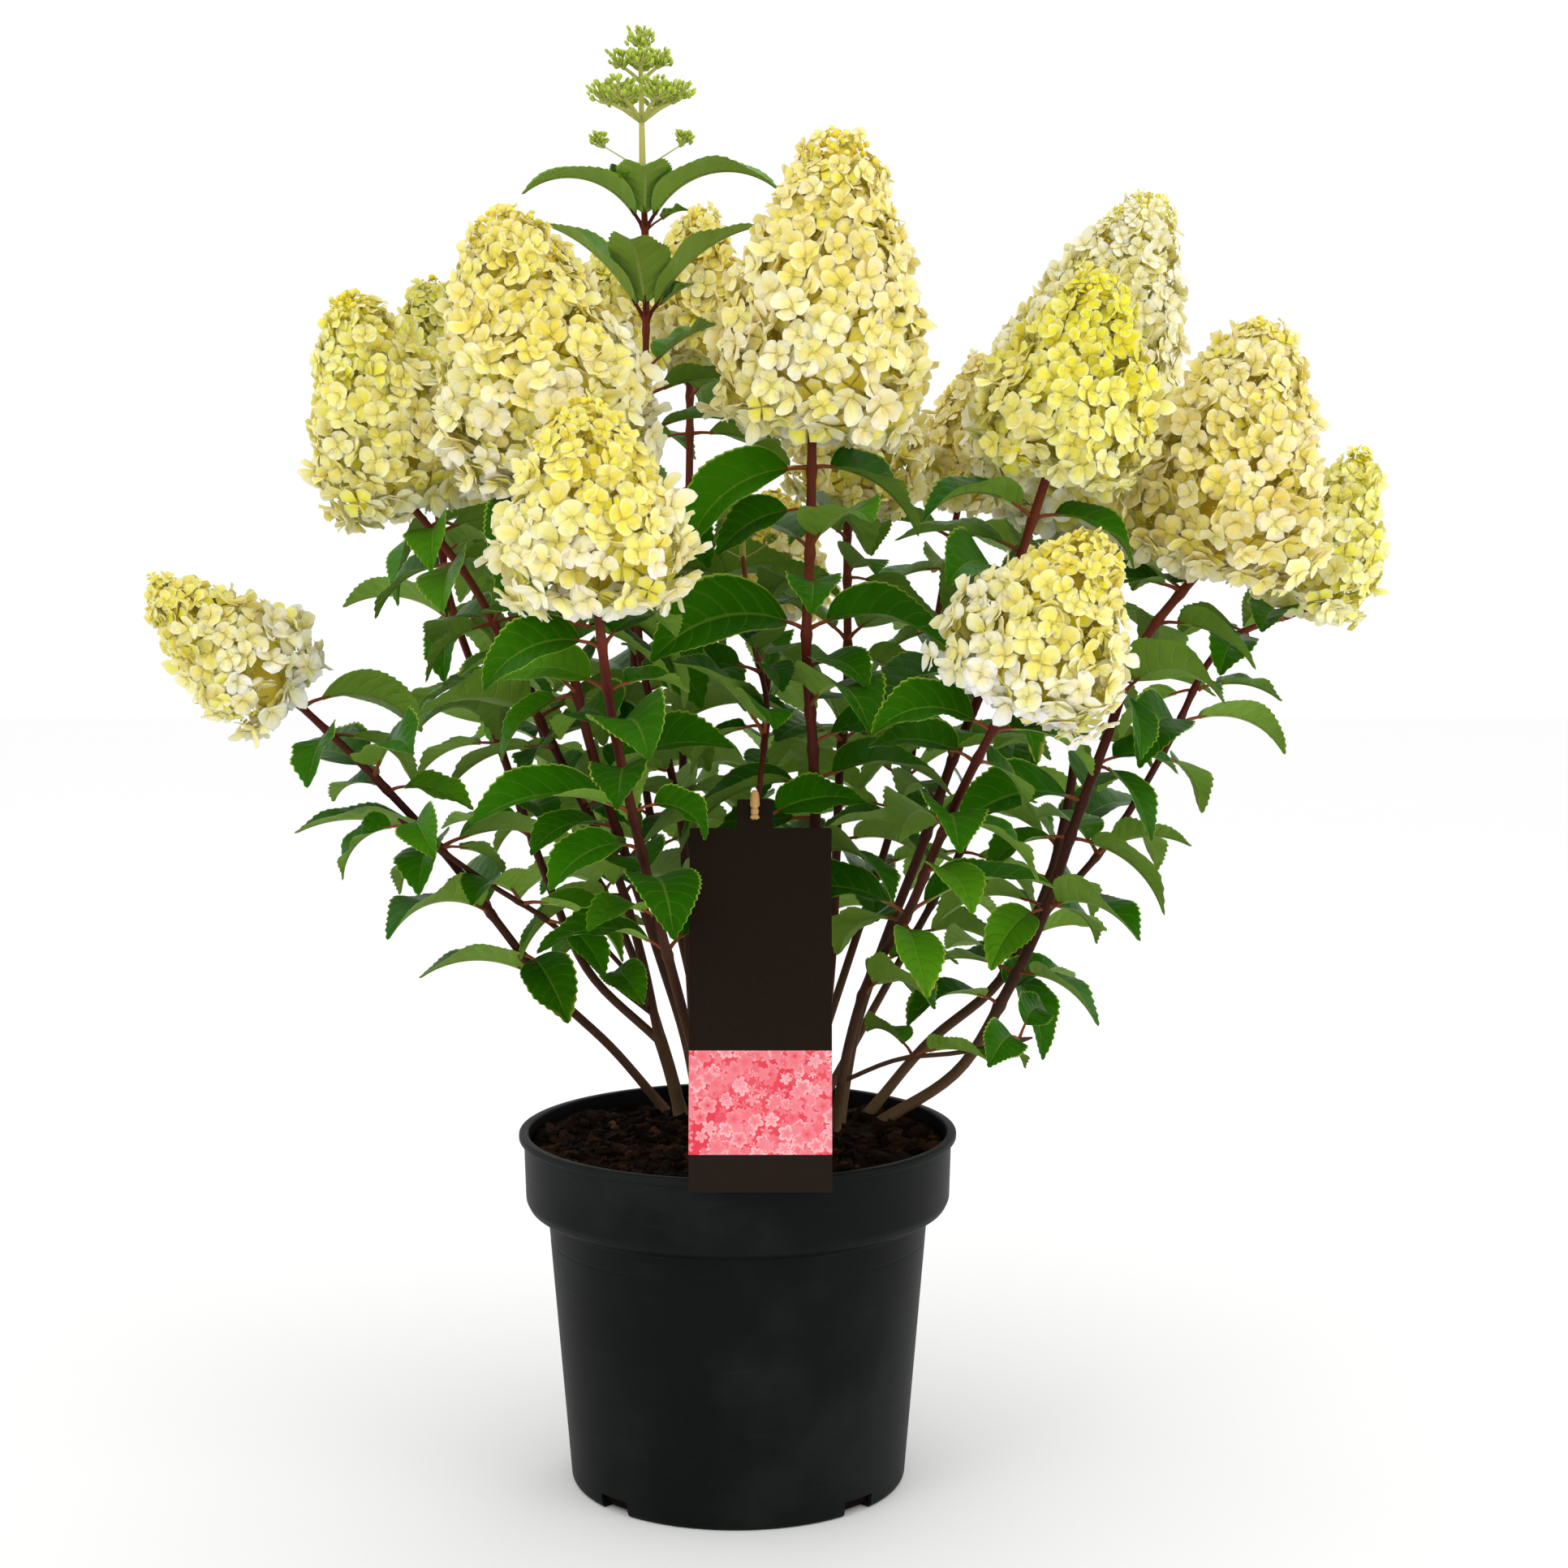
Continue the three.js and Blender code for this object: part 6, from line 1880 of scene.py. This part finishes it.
def petal_finish():
    """A thin petal: its own tone, a deeper yellow throat that is partly its own colour and partly painted
    shade, soft veins, and a lighter rim that is partly its own cream and partly a painted highlight.
    """
    finish = Finish(
        "Florets", Subsurface_Weight=0.65, Subsurface_Radius=(0.011, 0.010, 0.006), Specular_IOR_Level=0.06,
    )
    across, reach = finish.uv()
    tone = finish.colour_attribute("tone")
    side = (across - 0.5).math("ABSOLUTE") * 2
    mottle = finish.noise(140.0, 2.0)
    # The throat's deeper yellow is partly the petal's own colour and partly painted shade in the middle of
    # the floret
    base = finish.mix(tone, (0.96, 0.74, 0.05), reach.between(0.8, 0.1) * 0.5)
    # The lighter rim is partly the petal's own cream and partly a painted highlight where its edges catch the
    # light
    rim = (reach.between(0.6, 1.0) + side.between(0.5, 1.0)).clamped()
    light = finish.mix(base, (0.97, 0.94, 0.74), rim * 0.45)
    fans = ((across - 0.5) / (reach + 0.25) * 11).math("SINE")
    ribbed = finish.mix(light, (0.66, 0.50, 0.08), fans.between(0.5, 1.0) * 0.12 * reach.between(0.95, 0.5))
    bead = reach.between(0.03, 0.0)
    base = finish.mix(ribbed, (0.55, 0.55, 0.10), bead * 0.75)
    finish.bump(fans * 0.25 + mottle * 0.4 + side * 0.1, 0.0005, 0.7)
    return finish.surface(Base_Color=base, Roughness=0.5 + mottle * 0.16)


def stem_finish():
    """The green stalks inside a flower head."""
    finish = Finish("Head stalks", Subsurface_Weight=0.15, Specular_IOR_Level=0.2)
    mottle = finish.noise(160.0, 2.0)
    base = finish.mix((0.42, 0.46, 0.08), (0.55, 0.53, 0.17), mottle)
    finish.bump(mottle, 0.0003)
    return finish.surface(Base_Color=base, Roughness=0.45 + mottle * 0.15)


def bud_finish():
    """Small round buds, each of its own green between a lit and a shaded colour: partly the buds' own variety
    and partly painted light and shade.
    """
    finish = Finish("Buds", Subsurface_Weight=0.2, Specular_IOR_Level=0.2)
    tone = finish.colour_attribute("tone")
    mottle = finish.noise(700.0, 2.0)
    base = finish.mix(tone, (0.55, 0.58, 0.10), mottle.between(0.45, 0.75) * 0.5)
    finish.bump(mottle, 0.0003)
    return finish.surface(Base_Color=base, Roughness=0.42 + mottle * 0.16)


def pot_finish(colour):
    """Black moulded plastic: fine grain, faint rings of the mould, and patches of dust and scuffs."""
    finish = Finish("Pot plastic", Specular_IOR_Level=0.055)
    grain = finish.noise(2600.0, 2.0)
    cloud = finish.noise(9.0, 4.0, 0.6)
    rings = finish.noise(1.0, 2.0, 0.5, finish.object_place((6, 6, 900)))
    scuffs = finish.noise(1.0, 3.0, 0.6, finish.object_place((30, 30, 500)))
    pale = tuple(min(1, channel * 2.6 + 0.012) for channel in colour)
    dust = cloud.between(0.42, 0.72) * 0.35 + scuffs.between(0.62, 0.8) * 0.25
    base = finish.mix(tuple(colour), pale, dust)
    finish.bump(grain * 0.5 + rings * 0.3, 0.0002, 0.6)
    return finish.surface(Base_Color=base, Roughness=0.36 + cloud * 0.16 + scuffs * 0.1)


def mulch_finish(colour):
    """Broken bark: near-black to reddish brown and tan, with fibres along it."""
    finish = Finish("Bark mulch", Specular_IOR_Level=0.05)
    tint = finish.attribute("tint")
    broad = finish.noise(55.0, 3.0)
    fibres = finish.noise(1.0, 4.0, 0.65, finish.object_place((260, 620, 620)))
    grain = finish.noise(1300.0, 2.0)
    tone = (tint * 0.75 + broad * 0.4 - 0.1).clamped()
    dark = shaded(colour, 0.4)
    base = finish.ramp(
        tone, (0.0, dark), (0.4, tuple(colour)), (0.66, (0.026, 0.011, 0.006)), (0.84, (0.06, 0.024, 0.011)),
        (1.0, (0.14, 0.068, 0.032)),
    )
    base = finish.mix(base, dark, fibres.between(0.5, 0.35) * 0.6)
    finish.bump(fibres * 0.8 + grain * 0.4, 0.0012)
    return finish.surface(Base_Color=base, Roughness=0.78 + grain * 0.18)


def blossom_reach(finish, scale):
    """A field of five-petalled blossoms: how far out on its blossom a point lies, and a pick for each."""
    uv = finish.place.outputs["UV"]
    place = finish.node("ShaderNodeMapping", None, {"Vector": uv, "Scale": scale}).outputs["Vector"]
    cell = finish.node("ShaderNodeTexVoronoi", None, {"Vector": place, "Scale": 1.0, "Randomness": 0.8})
    offset = finish.node("ShaderNodeVectorMath", {"operation": "SUBTRACT"}, {
        0: place, 1: cell.outputs["Position"],
    })
    parts = finish.node("ShaderNodeSeparateXYZ", None, {"Vector": offset.outputs["Vector"]})
    east, north = Value(finish, parts.outputs["X"]), Value(finish, parts.outputs["Y"])
    shade = finish.node("ShaderNodeSeparateColor", None, {"Color": cell.outputs["Color"]})
    pick = Value(finish, shade.outputs["Red"])
    petals = (((north.math("ARCTAN2", east) + pick * 6) * 2.5).math("SINE")).math("ABSOLUTE")
    return Value(finish, cell.outputs["Distance"]) / (0.44 + 0.22 * petals), pick


def card_finish(colour, panel_colour):
    """A dark printed card with a panel of simple five-petalled flowers."""
    finish = Finish("Label card", Specular_IOR_Level=0.04)
    up = finish.uv()[1] * 100
    grain = finish.noise(900.0, 2.0)
    above_foot = up.between(PANEL_FOOT - PANEL_EDGE, PANEL_FOOT + PANEL_EDGE)
    in_panel = above_foot * up.between(PANEL_TOP + PANEL_EDGE, PANEL_TOP - PANEL_EDGE)
    deep = tuple(channel * factor for channel, factor in zip(panel_colour, (0.95, 0.5, 0.6)))
    picture = finish.mix(deep, tuple(panel_colour), blossom_reach(finish, (8, 8, 1))[1])
    for scale, shade in (((15, 15, 1), (0.83, 0.20, 0.24)), ((12, 13, 1), (0.84, 0.27, 0.31))):
        reach, pick = blossom_reach(finish, scale)
        petal = finish.mix(tuple(panel_colour), shade, (reach * 0.8 + pick * 0.4).clamped())
        petal = finish.mix(petal, (0.86, 0.52, 0.54), reach.between(0.5, 1.0) * pick.between(0.45, 0.95))
        petal = finish.mix(petal, deep, reach.between(0.25, 0.08))
        picture = finish.mix(picture, petal, reach.between(1.04, 0.94))
    plain = finish.mix(tuple(colour), shaded(colour, 1.7), grain)
    lower = finish.mix(plain, (0.015, 0.010, 0.007), up.between(PANEL_FOOT, PANEL_FOOT - 0.3))
    front = finish.attribute("front")
    base = finish.mix(lower, picture, in_panel * front)
    finish.bump(grain, 0.0001, 0.4)
    return finish.surface(Base_Color=base, Roughness=0.3 + grain * 0.12)


def peg_finish(colour):
    """Pale turned wood with its grain along the peg."""
    finish = Finish("Peg wood", Specular_IOR_Level=0.35)
    grain = finish.noise(1.0, 4.0, 0.6, finish.object_place((900, 900, 90)))
    lines = finish.noise(1.0, 2.0, 0.5, finish.object_place((2200, 2200, 140)))
    dark = shaded(colour, 0.6)
    base = finish.mix(tuple(colour), dark, grain.between(0.42, 0.72) * 0.8)
    base = finish.mix(base, (0.22, 0.12, 0.05), lines.between(0.6, 0.75) * 0.4)
    finish.bump(lines * 0.5 + grain * 0.5, 0.0003)
    return finish.surface(Base_Color=base, Roughness=0.58 + grain * 0.15)


def floor_finish(colour):
    finish = Finish("Studio floor", Specular_IOR_Level=0.2)
    cloud = finish.noise(1.3, 2.0)
    base = finish.mix(tuple(colour), shaded(colour, 0.985), cloud)
    return finish.surface(Base_Color=base, Roughness=0.85 + cloud * 0.05)


# What a user would change

def colour_property(name, description, default):
    return bpy.props.FloatVectorProperty(
        name=name, description=description, subtype="COLOR", size=3, min=0, max=1, default=default,
    )


def length_property(name, description, default, low, high):
    return bpy.props.FloatProperty(
        name=name, description=description, unit="LENGTH", default=default, min=low, max=high, precision=4,
    )


class PotSettings(bpy.types.PropertyGroup):
    pot_colour: colour_property("Pot", "Colour of the plastic container", (0.0042, 0.0048, 0.005))
    mulch_colour: colour_property("Mulch", "Middle colour of the bark mulch", (0.0078, 0.0032, 0.0012))
    chip_smallest: length_property("Smallest chip", "Length of the smallest bark chip", 0.004, 0.001, 0.02)
    chip_largest: length_property("Largest chip", "Length of the largest bark chip", 0.017, 0.004, 0.04)


class FoliageSettings(bpy.types.PropertyGroup):
    leaf_colour: colour_property("Leaf", "Colour of a grown leaf's upper face", (0.03, 0.195, 0.0004))
    young_colour: colour_property("Young leaf", "Colour of the tall shoot's leaves", (0.14, 0.35, 0.012))
    cane_colour: colour_property("Cane", "Colour of a young cane", (0.102, 0.011, 0.006))
    cane_sides: bpy.props.IntProperty(
        name="Cane sides", description="Sides of each cane and leaf stalk", default=9, min=4, max=16,
    )


class FlowerSettings(bpy.types.PropertyGroup):
    floret_width: length_property("Floret", "Width of a full floret at a head's foot", 0.0222, 0.012, 0.04)
    crowding: bpy.props.FloatProperty(
        name="Crowding", description="Florets for each square of their own width",
        default=2.74, min=0.5, max=4,
    )
    bud_shaded: colour_property("Bud, shaded", "Colour of the darkest buds", (0.24, 0.38, 0.015))
    bud_lit: colour_property("Bud, lit", "Colour of the lightest buds", (0.50, 0.62, 0.08))


class LabelSettings(bpy.types.PropertyGroup):
    card_colour: colour_property("Card", "Colour of the card's plain part", (0.0095, 0.0055, 0.0032))
    panel_colour: colour_property("Panel", "Colour of the flowers on the card", (0.77, 0.088, 0.12))
    peg_colour: colour_property("Peg", "Colour of the peg's wood", (0.62, 0.35, 0.12))


class StageSettings(bpy.types.PropertyGroup):
    floor_colour: colour_property("Floor", "Colour of the floor", (0.97, 0.97, 0.97))
    world_light: bpy.props.FloatProperty(
        name="Surroundings", description="Strength of the even light from all round",
        default=1.02, min=0, max=4,
    )
    key_power: bpy.props.FloatProperty(
        name="Key light", description="Power of the main light", unit="POWER", default=9.5, min=0, max=500,
    )


SHOOT_PARTS = {}


def shoot_parts():
    """The shoots by the name of their solid, and each shoot's order in the plan."""
    if not SHOOT_PARTS:
        for order, plan in enumerate(SHOOTS):
            SHOOT_PARTS.setdefault(plan.name, []).append(Shoot(plan, order))
    return SHOOT_PARTS


def heads():
    return [shoot.head for shoots in shoot_parts().values() for shoot in shoots if shoot.head]


# Operators

class HYDRANGEA_OT_pot(bpy.types.Operator):
    """Make the container and the bark mulch that fills it"""

    bl_idname = "hydrangea.pot"
    bl_label = "Pot and mulch"

    def execute(self, context):
        settings = context.scene.hydrangea_pot
        pot = object_of("pot_moulding", pot_mesh(), pot_finish(settings.pot_colour))
        finished(pot, "pot_plastic", "pot")
        mulch = mulch_finish(settings.mulch_colour)
        ball = object_of("root_ball", soil_mesh(), mulch)
        finished(ball, "bark_mulch", "soil")
        chips = [
            object_of(f"chip_{kind}", chip_mesh(f"chip_{kind}", kind + CHIP_SEED, shape))
            for kind, shape in enumerate(CHIP_SHAPES)
        ]
        tree = scatter_tree(len(chips))
        shapes = {f"Shape {kind + 1}": chip for kind, chip in enumerate(chips)}
        smallest, largest = settings.chip_smallest / MM, settings.chip_largest / MM
        for name, density, low, high, tilt, seed in (
            ("bark_chips", CHIP_DENSITY, smallest * 1.6, largest, CHIP_TILT, 3),
            ("bark_crumbs", CRUMB_DENSITY, CRUMB_SMALLEST, smallest * 1.7, CRUMB_TILT, 11),
        ):
            mesh = tree.grow(name, soil_top(), {
                **shapes, "Density": float(density), "Seed": seed, "Smallest": low, "Largest": high,
                "Tilt": tilt, "Finish": mulch,
            })
            mesh.shade_flat()
            finished(object_of(name, mesh), "bark_mulch")
        discard(*chips)
        return {"FINISHED"}


class HYDRANGEA_OT_shoots(bpy.types.Operator):
    """Make the canes with their leaf stalks and leaves"""

    bl_idname = "hydrangea.shoots"
    bl_label = "Canes and leaves"

    def execute(self, context):
        settings = context.scene.hydrangea_foliage
        bark = cane_finish(settings.cane_colour)
        leaf_green = leaf_finish(settings.leaf_colour, settings.young_colour)
        tree = stalks_tree()
        grown_template, small_template = blade_faces(BLADE_ROWS), blade_faces(SMALL_BLADE_ROWS)
        outline = blade_outline()
        thicket = Thicket()
        grown = {}
        for node, shoots in shoot_parts().items():
            corners = corners_of(node)
            for shoot in shoots:
                grown[shoot.order] = leaves_of(shoot, corners)
                for leaf in grown[shoot.order]:
                    thicket.add(leaf)
        for node, shoots in shoot_parts().items():
            lines, blades = Lines(), Strip()
            for shoot in shoots:
                small = fill_leaves(shoot, thicket)
                add_cane(lines, shoot, grown[shoot.order] + small)
                for leaves, template in ((grown[shoot.order], grown_template), (small, small_template)):
                    for leaf in leaves:
                        add_petiole(lines, leaf)
                        add_blade(blades, leaf, template, outline)
            name = node.replace("cane", "shoot")
            blade_object = object_of("blades", blades.mesh("blades"))
            mesh = tree.grow(name, lines.mesh(name), {
                "Sides": settings.cane_sides, "Finish": bark, "Joined": blade_object,
                "Flagged finish": leaf_green,
            })
            discard(blade_object)
            finished(object_of(name, mesh), "foliage", node)
        return {"FINISHED"}


def inner_stalks(maker, lines, sides, finish):
    """The stalks inside a head, marked for the second finish of the head's own tree."""
    grown = maker.grow("stalks", lines.mesh("stalks"), {"Sides": sides, "Finish": finish})
    add_attribute(grown, "flagged", "FLOAT", np.ones(len(grown.polygons)), "FACE")
    return grown


class HYDRANGEA_OT_heads(bpy.types.Operator):
    """Make the open flower heads of overlapping florets"""

    bl_idname = "hydrangea.heads"
    bl_label = "Flower heads"

    def execute(self, context):
        settings = context.scene.hydrangea_flowers
        petals, stems = petal_finish(), stem_finish()
        shapes = [
            floret_mesh("floret_open", 5), floret_mesh("floret_cupped", 9, width=0.96, cup=0.3),
            floret_mesh("floret_wavy", 14, width=1.06, cup=0.0, uneven=0.12, pitch=0.3),
            floret_mesh("floret_bent", 21, width=1.0, cup=-0.12, pitch=0.35),
            floret_mesh("floret_folded", 33, width=0.98, cup=0.2, uneven=0.14, pitch=0.45),
            inner_mesh("floret_inner", 8), fertile_mesh("fertile", 3), closed_mesh("closed"),
        ]
        makers = [object_of(mesh.name, mesh) for mesh in shapes]
        cluster_maker, stalk_maker = clusters_tree(len(makers)), stalks_tree()
        for head in (head for head in heads() if not head.bud):
            bloom = Bloom(head, settings.floret_width / MM, settings.crowding)
            for layer in LAYERS:
                bloom.add_layer(*layer)
            bloom.add_underside()
            grown = inner_stalks(stalk_maker, bloom.stalks, 4, stems)
            stalks = object_of("stalks", joined_meshes("stalks", grown, core_mesh(head)))
            name = head.name.replace("panicle", "florets")
            mesh = cluster_maker.grow(name, bloom.cluster.mesh(name), {
                **{f"Shape {kind + 1}": maker for kind, maker in enumerate(makers)},
                "Finish": petals, "Joined": stalks, "Flagged finish": stems,
            })
            discard(stalks)
            finished(object_of(name, mesh), "florets", head.name)
        discard(*makers)
        return {"FINISHED"}


class HYDRANGEA_OT_buds(bpy.types.Operator):
    """Make the two green heads that are still in bud"""

    bl_idname = "hydrangea.buds"
    bl_label = "Heads in bud"

    def execute(self, context):
        settings = context.scene.hydrangea_flowers
        green, stems = bud_finish(), stem_finish()
        bead = object_of("bead", bead_mesh("bead"))
        cluster_maker, stalk_maker = clusters_tree(1), stalks_tree()
        for head in (head for head in heads() if head.bud):
            cluster, lines = bud_parts(head, (settings.bud_shaded, settings.bud_lit))
            stalks = object_of("stalks", inner_stalks(stalk_maker, lines, 5, stems))
            name = head.name.replace("panicle_bud", "buds")
            mesh = cluster_maker.grow(name, cluster.mesh(name), {
                "Shape 1": bead, "Finish": green, "Joined": stalks, "Flagged finish": stems,
            })
            discard(stalks)
            finished(object_of(name, mesh), "buds", head.name)
        discard(bead)
        return {"FINISHED"}


class HYDRANGEA_OT_label(bpy.types.Operator):
    """Make the hanging card and the wooden peg that holds it"""

    bl_idname = "hydrangea.label"
    bl_label = "Label and peg"

    def execute(self, context):
        settings = context.scene.hydrangea_label
        mesh = card_mesh()
        facing = card_place().to_3x3() @ Vector((0, 0, 1))
        add_attribute(mesh, "front", "FLOAT", [
            1.0 if face.normal.dot(facing) > 0.5 else 0.0 for face in mesh.polygons
        ], "FACE")
        card = object_of("label_plate", mesh, card_finish(settings.card_colour, settings.panel_colour))
        finished(card, "label_plastic", "label_card")
        peg = object_of("peg_turned", peg_mesh(), peg_finish(settings.peg_colour))
        finished(peg, "peg_wood", "label_peg")
        return {"FINISHED"}


FLOOR_REACH = 6000
# The camera that was fitted to the pot in the photograph
PHOTO_PIXELS = 1932
FOCAL_PIXELS = 3382
SENSOR = 36
CAMERA_PLACE = (0.0275, -1.608, 0.578)
CAMERA_DIP = 0.1


def area_light(name, place, target, size, power, colour):
    light = bpy.data.lights.new(name, "AREA")
    light.shape = "DISK"
    light.size = size
    light.energy = power
    light.color = colour
    lamp = bpy.data.objects.new(name, light)
    lamp.location = place
    lamp.rotation_euler = (Vector(target) - Vector(place)).to_track_quat("-Z", "Y").to_euler()
    bpy.context.scene.collection.objects.link(lamp)


class HYDRANGEA_OT_stage(bpy.types.Operator):
    """Make the floor, the lights and the camera"""

    bl_idname = "hydrangea.stage"
    bl_label = "Stage"

    def execute(self, context):
        settings = context.scene.hydrangea_stage
        corners = [(x * FLOOR_REACH, y * FLOOR_REACH, 0) for x, y in ((-1, -1), (1, -1), (1, 1), (-1, 1))]
        mesh = mesh_of("floor", corners, (), [(0, 1, 2, 3)])
        floor = object_of("floor", mesh, floor_finish(settings.floor_colour))
        floor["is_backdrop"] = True
        world = bpy.data.worlds.new("Studio")
        world.use_nodes = True
        surroundings = world.node_tree.nodes["Background"]
        surroundings.inputs["Color"].default_value = (1, 1, 1, 1)
        surroundings.inputs["Strength"].default_value = settings.world_light
        context.scene.world = world
        context.scene.view_settings.view_transform = "Standard"
        middle = (0, 0, 0.5)
        power = settings.key_power
        area_light("key", (-1.5, -1.8, 2.3), middle, 1.3, power, (1, 0.985, 0.96))
        area_light("fill", (2.1, -1.5, 1.1), middle, 1.8, power * 1.3, (1, 0.99, 0.97))
        area_light("rim", (0.7, 1.9, 2.0), middle, 1.2, power * 0.6, (1, 1, 1))
        lens = bpy.data.cameras.new("Camera")
        lens.lens = FOCAL_PIXELS / PHOTO_PIXELS * SENSOR
        lens.sensor_width = SENSOR
        lens.clip_start = 0.05
        camera = bpy.data.objects.new("Camera", lens)
        camera.location = CAMERA_PLACE
        camera.rotation_euler = (math.pi / 2 - CAMERA_DIP, 0, 0)
        context.scene.collection.objects.link(camera)
        context.scene.camera = camera
        return {"FINISHED"}


STEPS = (
    HYDRANGEA_OT_pot, HYDRANGEA_OT_shoots, HYDRANGEA_OT_heads, HYDRANGEA_OT_buds, HYDRANGEA_OT_label,
    HYDRANGEA_OT_stage,
)
SETTINGS = {
    "hydrangea_pot": PotSettings,
    "hydrangea_foliage": FoliageSettings,
    "hydrangea_flowers": FlowerSettings,
    "hydrangea_label": LabelSettings,
    "hydrangea_stage": StageSettings,
}


class HYDRANGEA_PT_steps(bpy.types.Panel):
    """The sizes, the colours and the steps of the plant"""

    bl_idname = "HYDRANGEA_PT_steps"
    bl_label = "Potted hydrangea"
    bl_space_type = "VIEW_3D"
    bl_region_type = "UI"
    bl_category = "Hydrangea"

    def draw(self, context):
        for name, group in SETTINGS.items():
            box = self.layout.box()
            for label in group.__annotations__:
                box.prop(getattr(context.scene, name), label)
        for step in STEPS:
            self.layout.operator(step.bl_idname)


def register():
    for group in (*SETTINGS.values(), *STEPS, HYDRANGEA_PT_steps):
        bpy.utils.register_class(group)
    for name, group in SETTINGS.items():
        setattr(bpy.types.Scene, name, bpy.props.PointerProperty(type=group))


def unregister():
    for name in SETTINGS:
        delattr(bpy.types.Scene, name)
    for group in (HYDRANGEA_PT_steps, *STEPS[::-1], *tuple(SETTINGS.values())[::-1]):
        bpy.utils.unregister_class(group)


def main():
    register()
    for make in (
        bpy.ops.hydrangea.pot, bpy.ops.hydrangea.shoots, bpy.ops.hydrangea.heads, bpy.ops.hydrangea.buds,
        bpy.ops.hydrangea.label, bpy.ops.hydrangea.stage,
    ):
        make()
    boxes = {"cad": CAD_BOX, "visual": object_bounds()}
    {name: [list(corner) for corner in box] for name, box in boxes.items()}


if __name__ == "__main__":
    main()
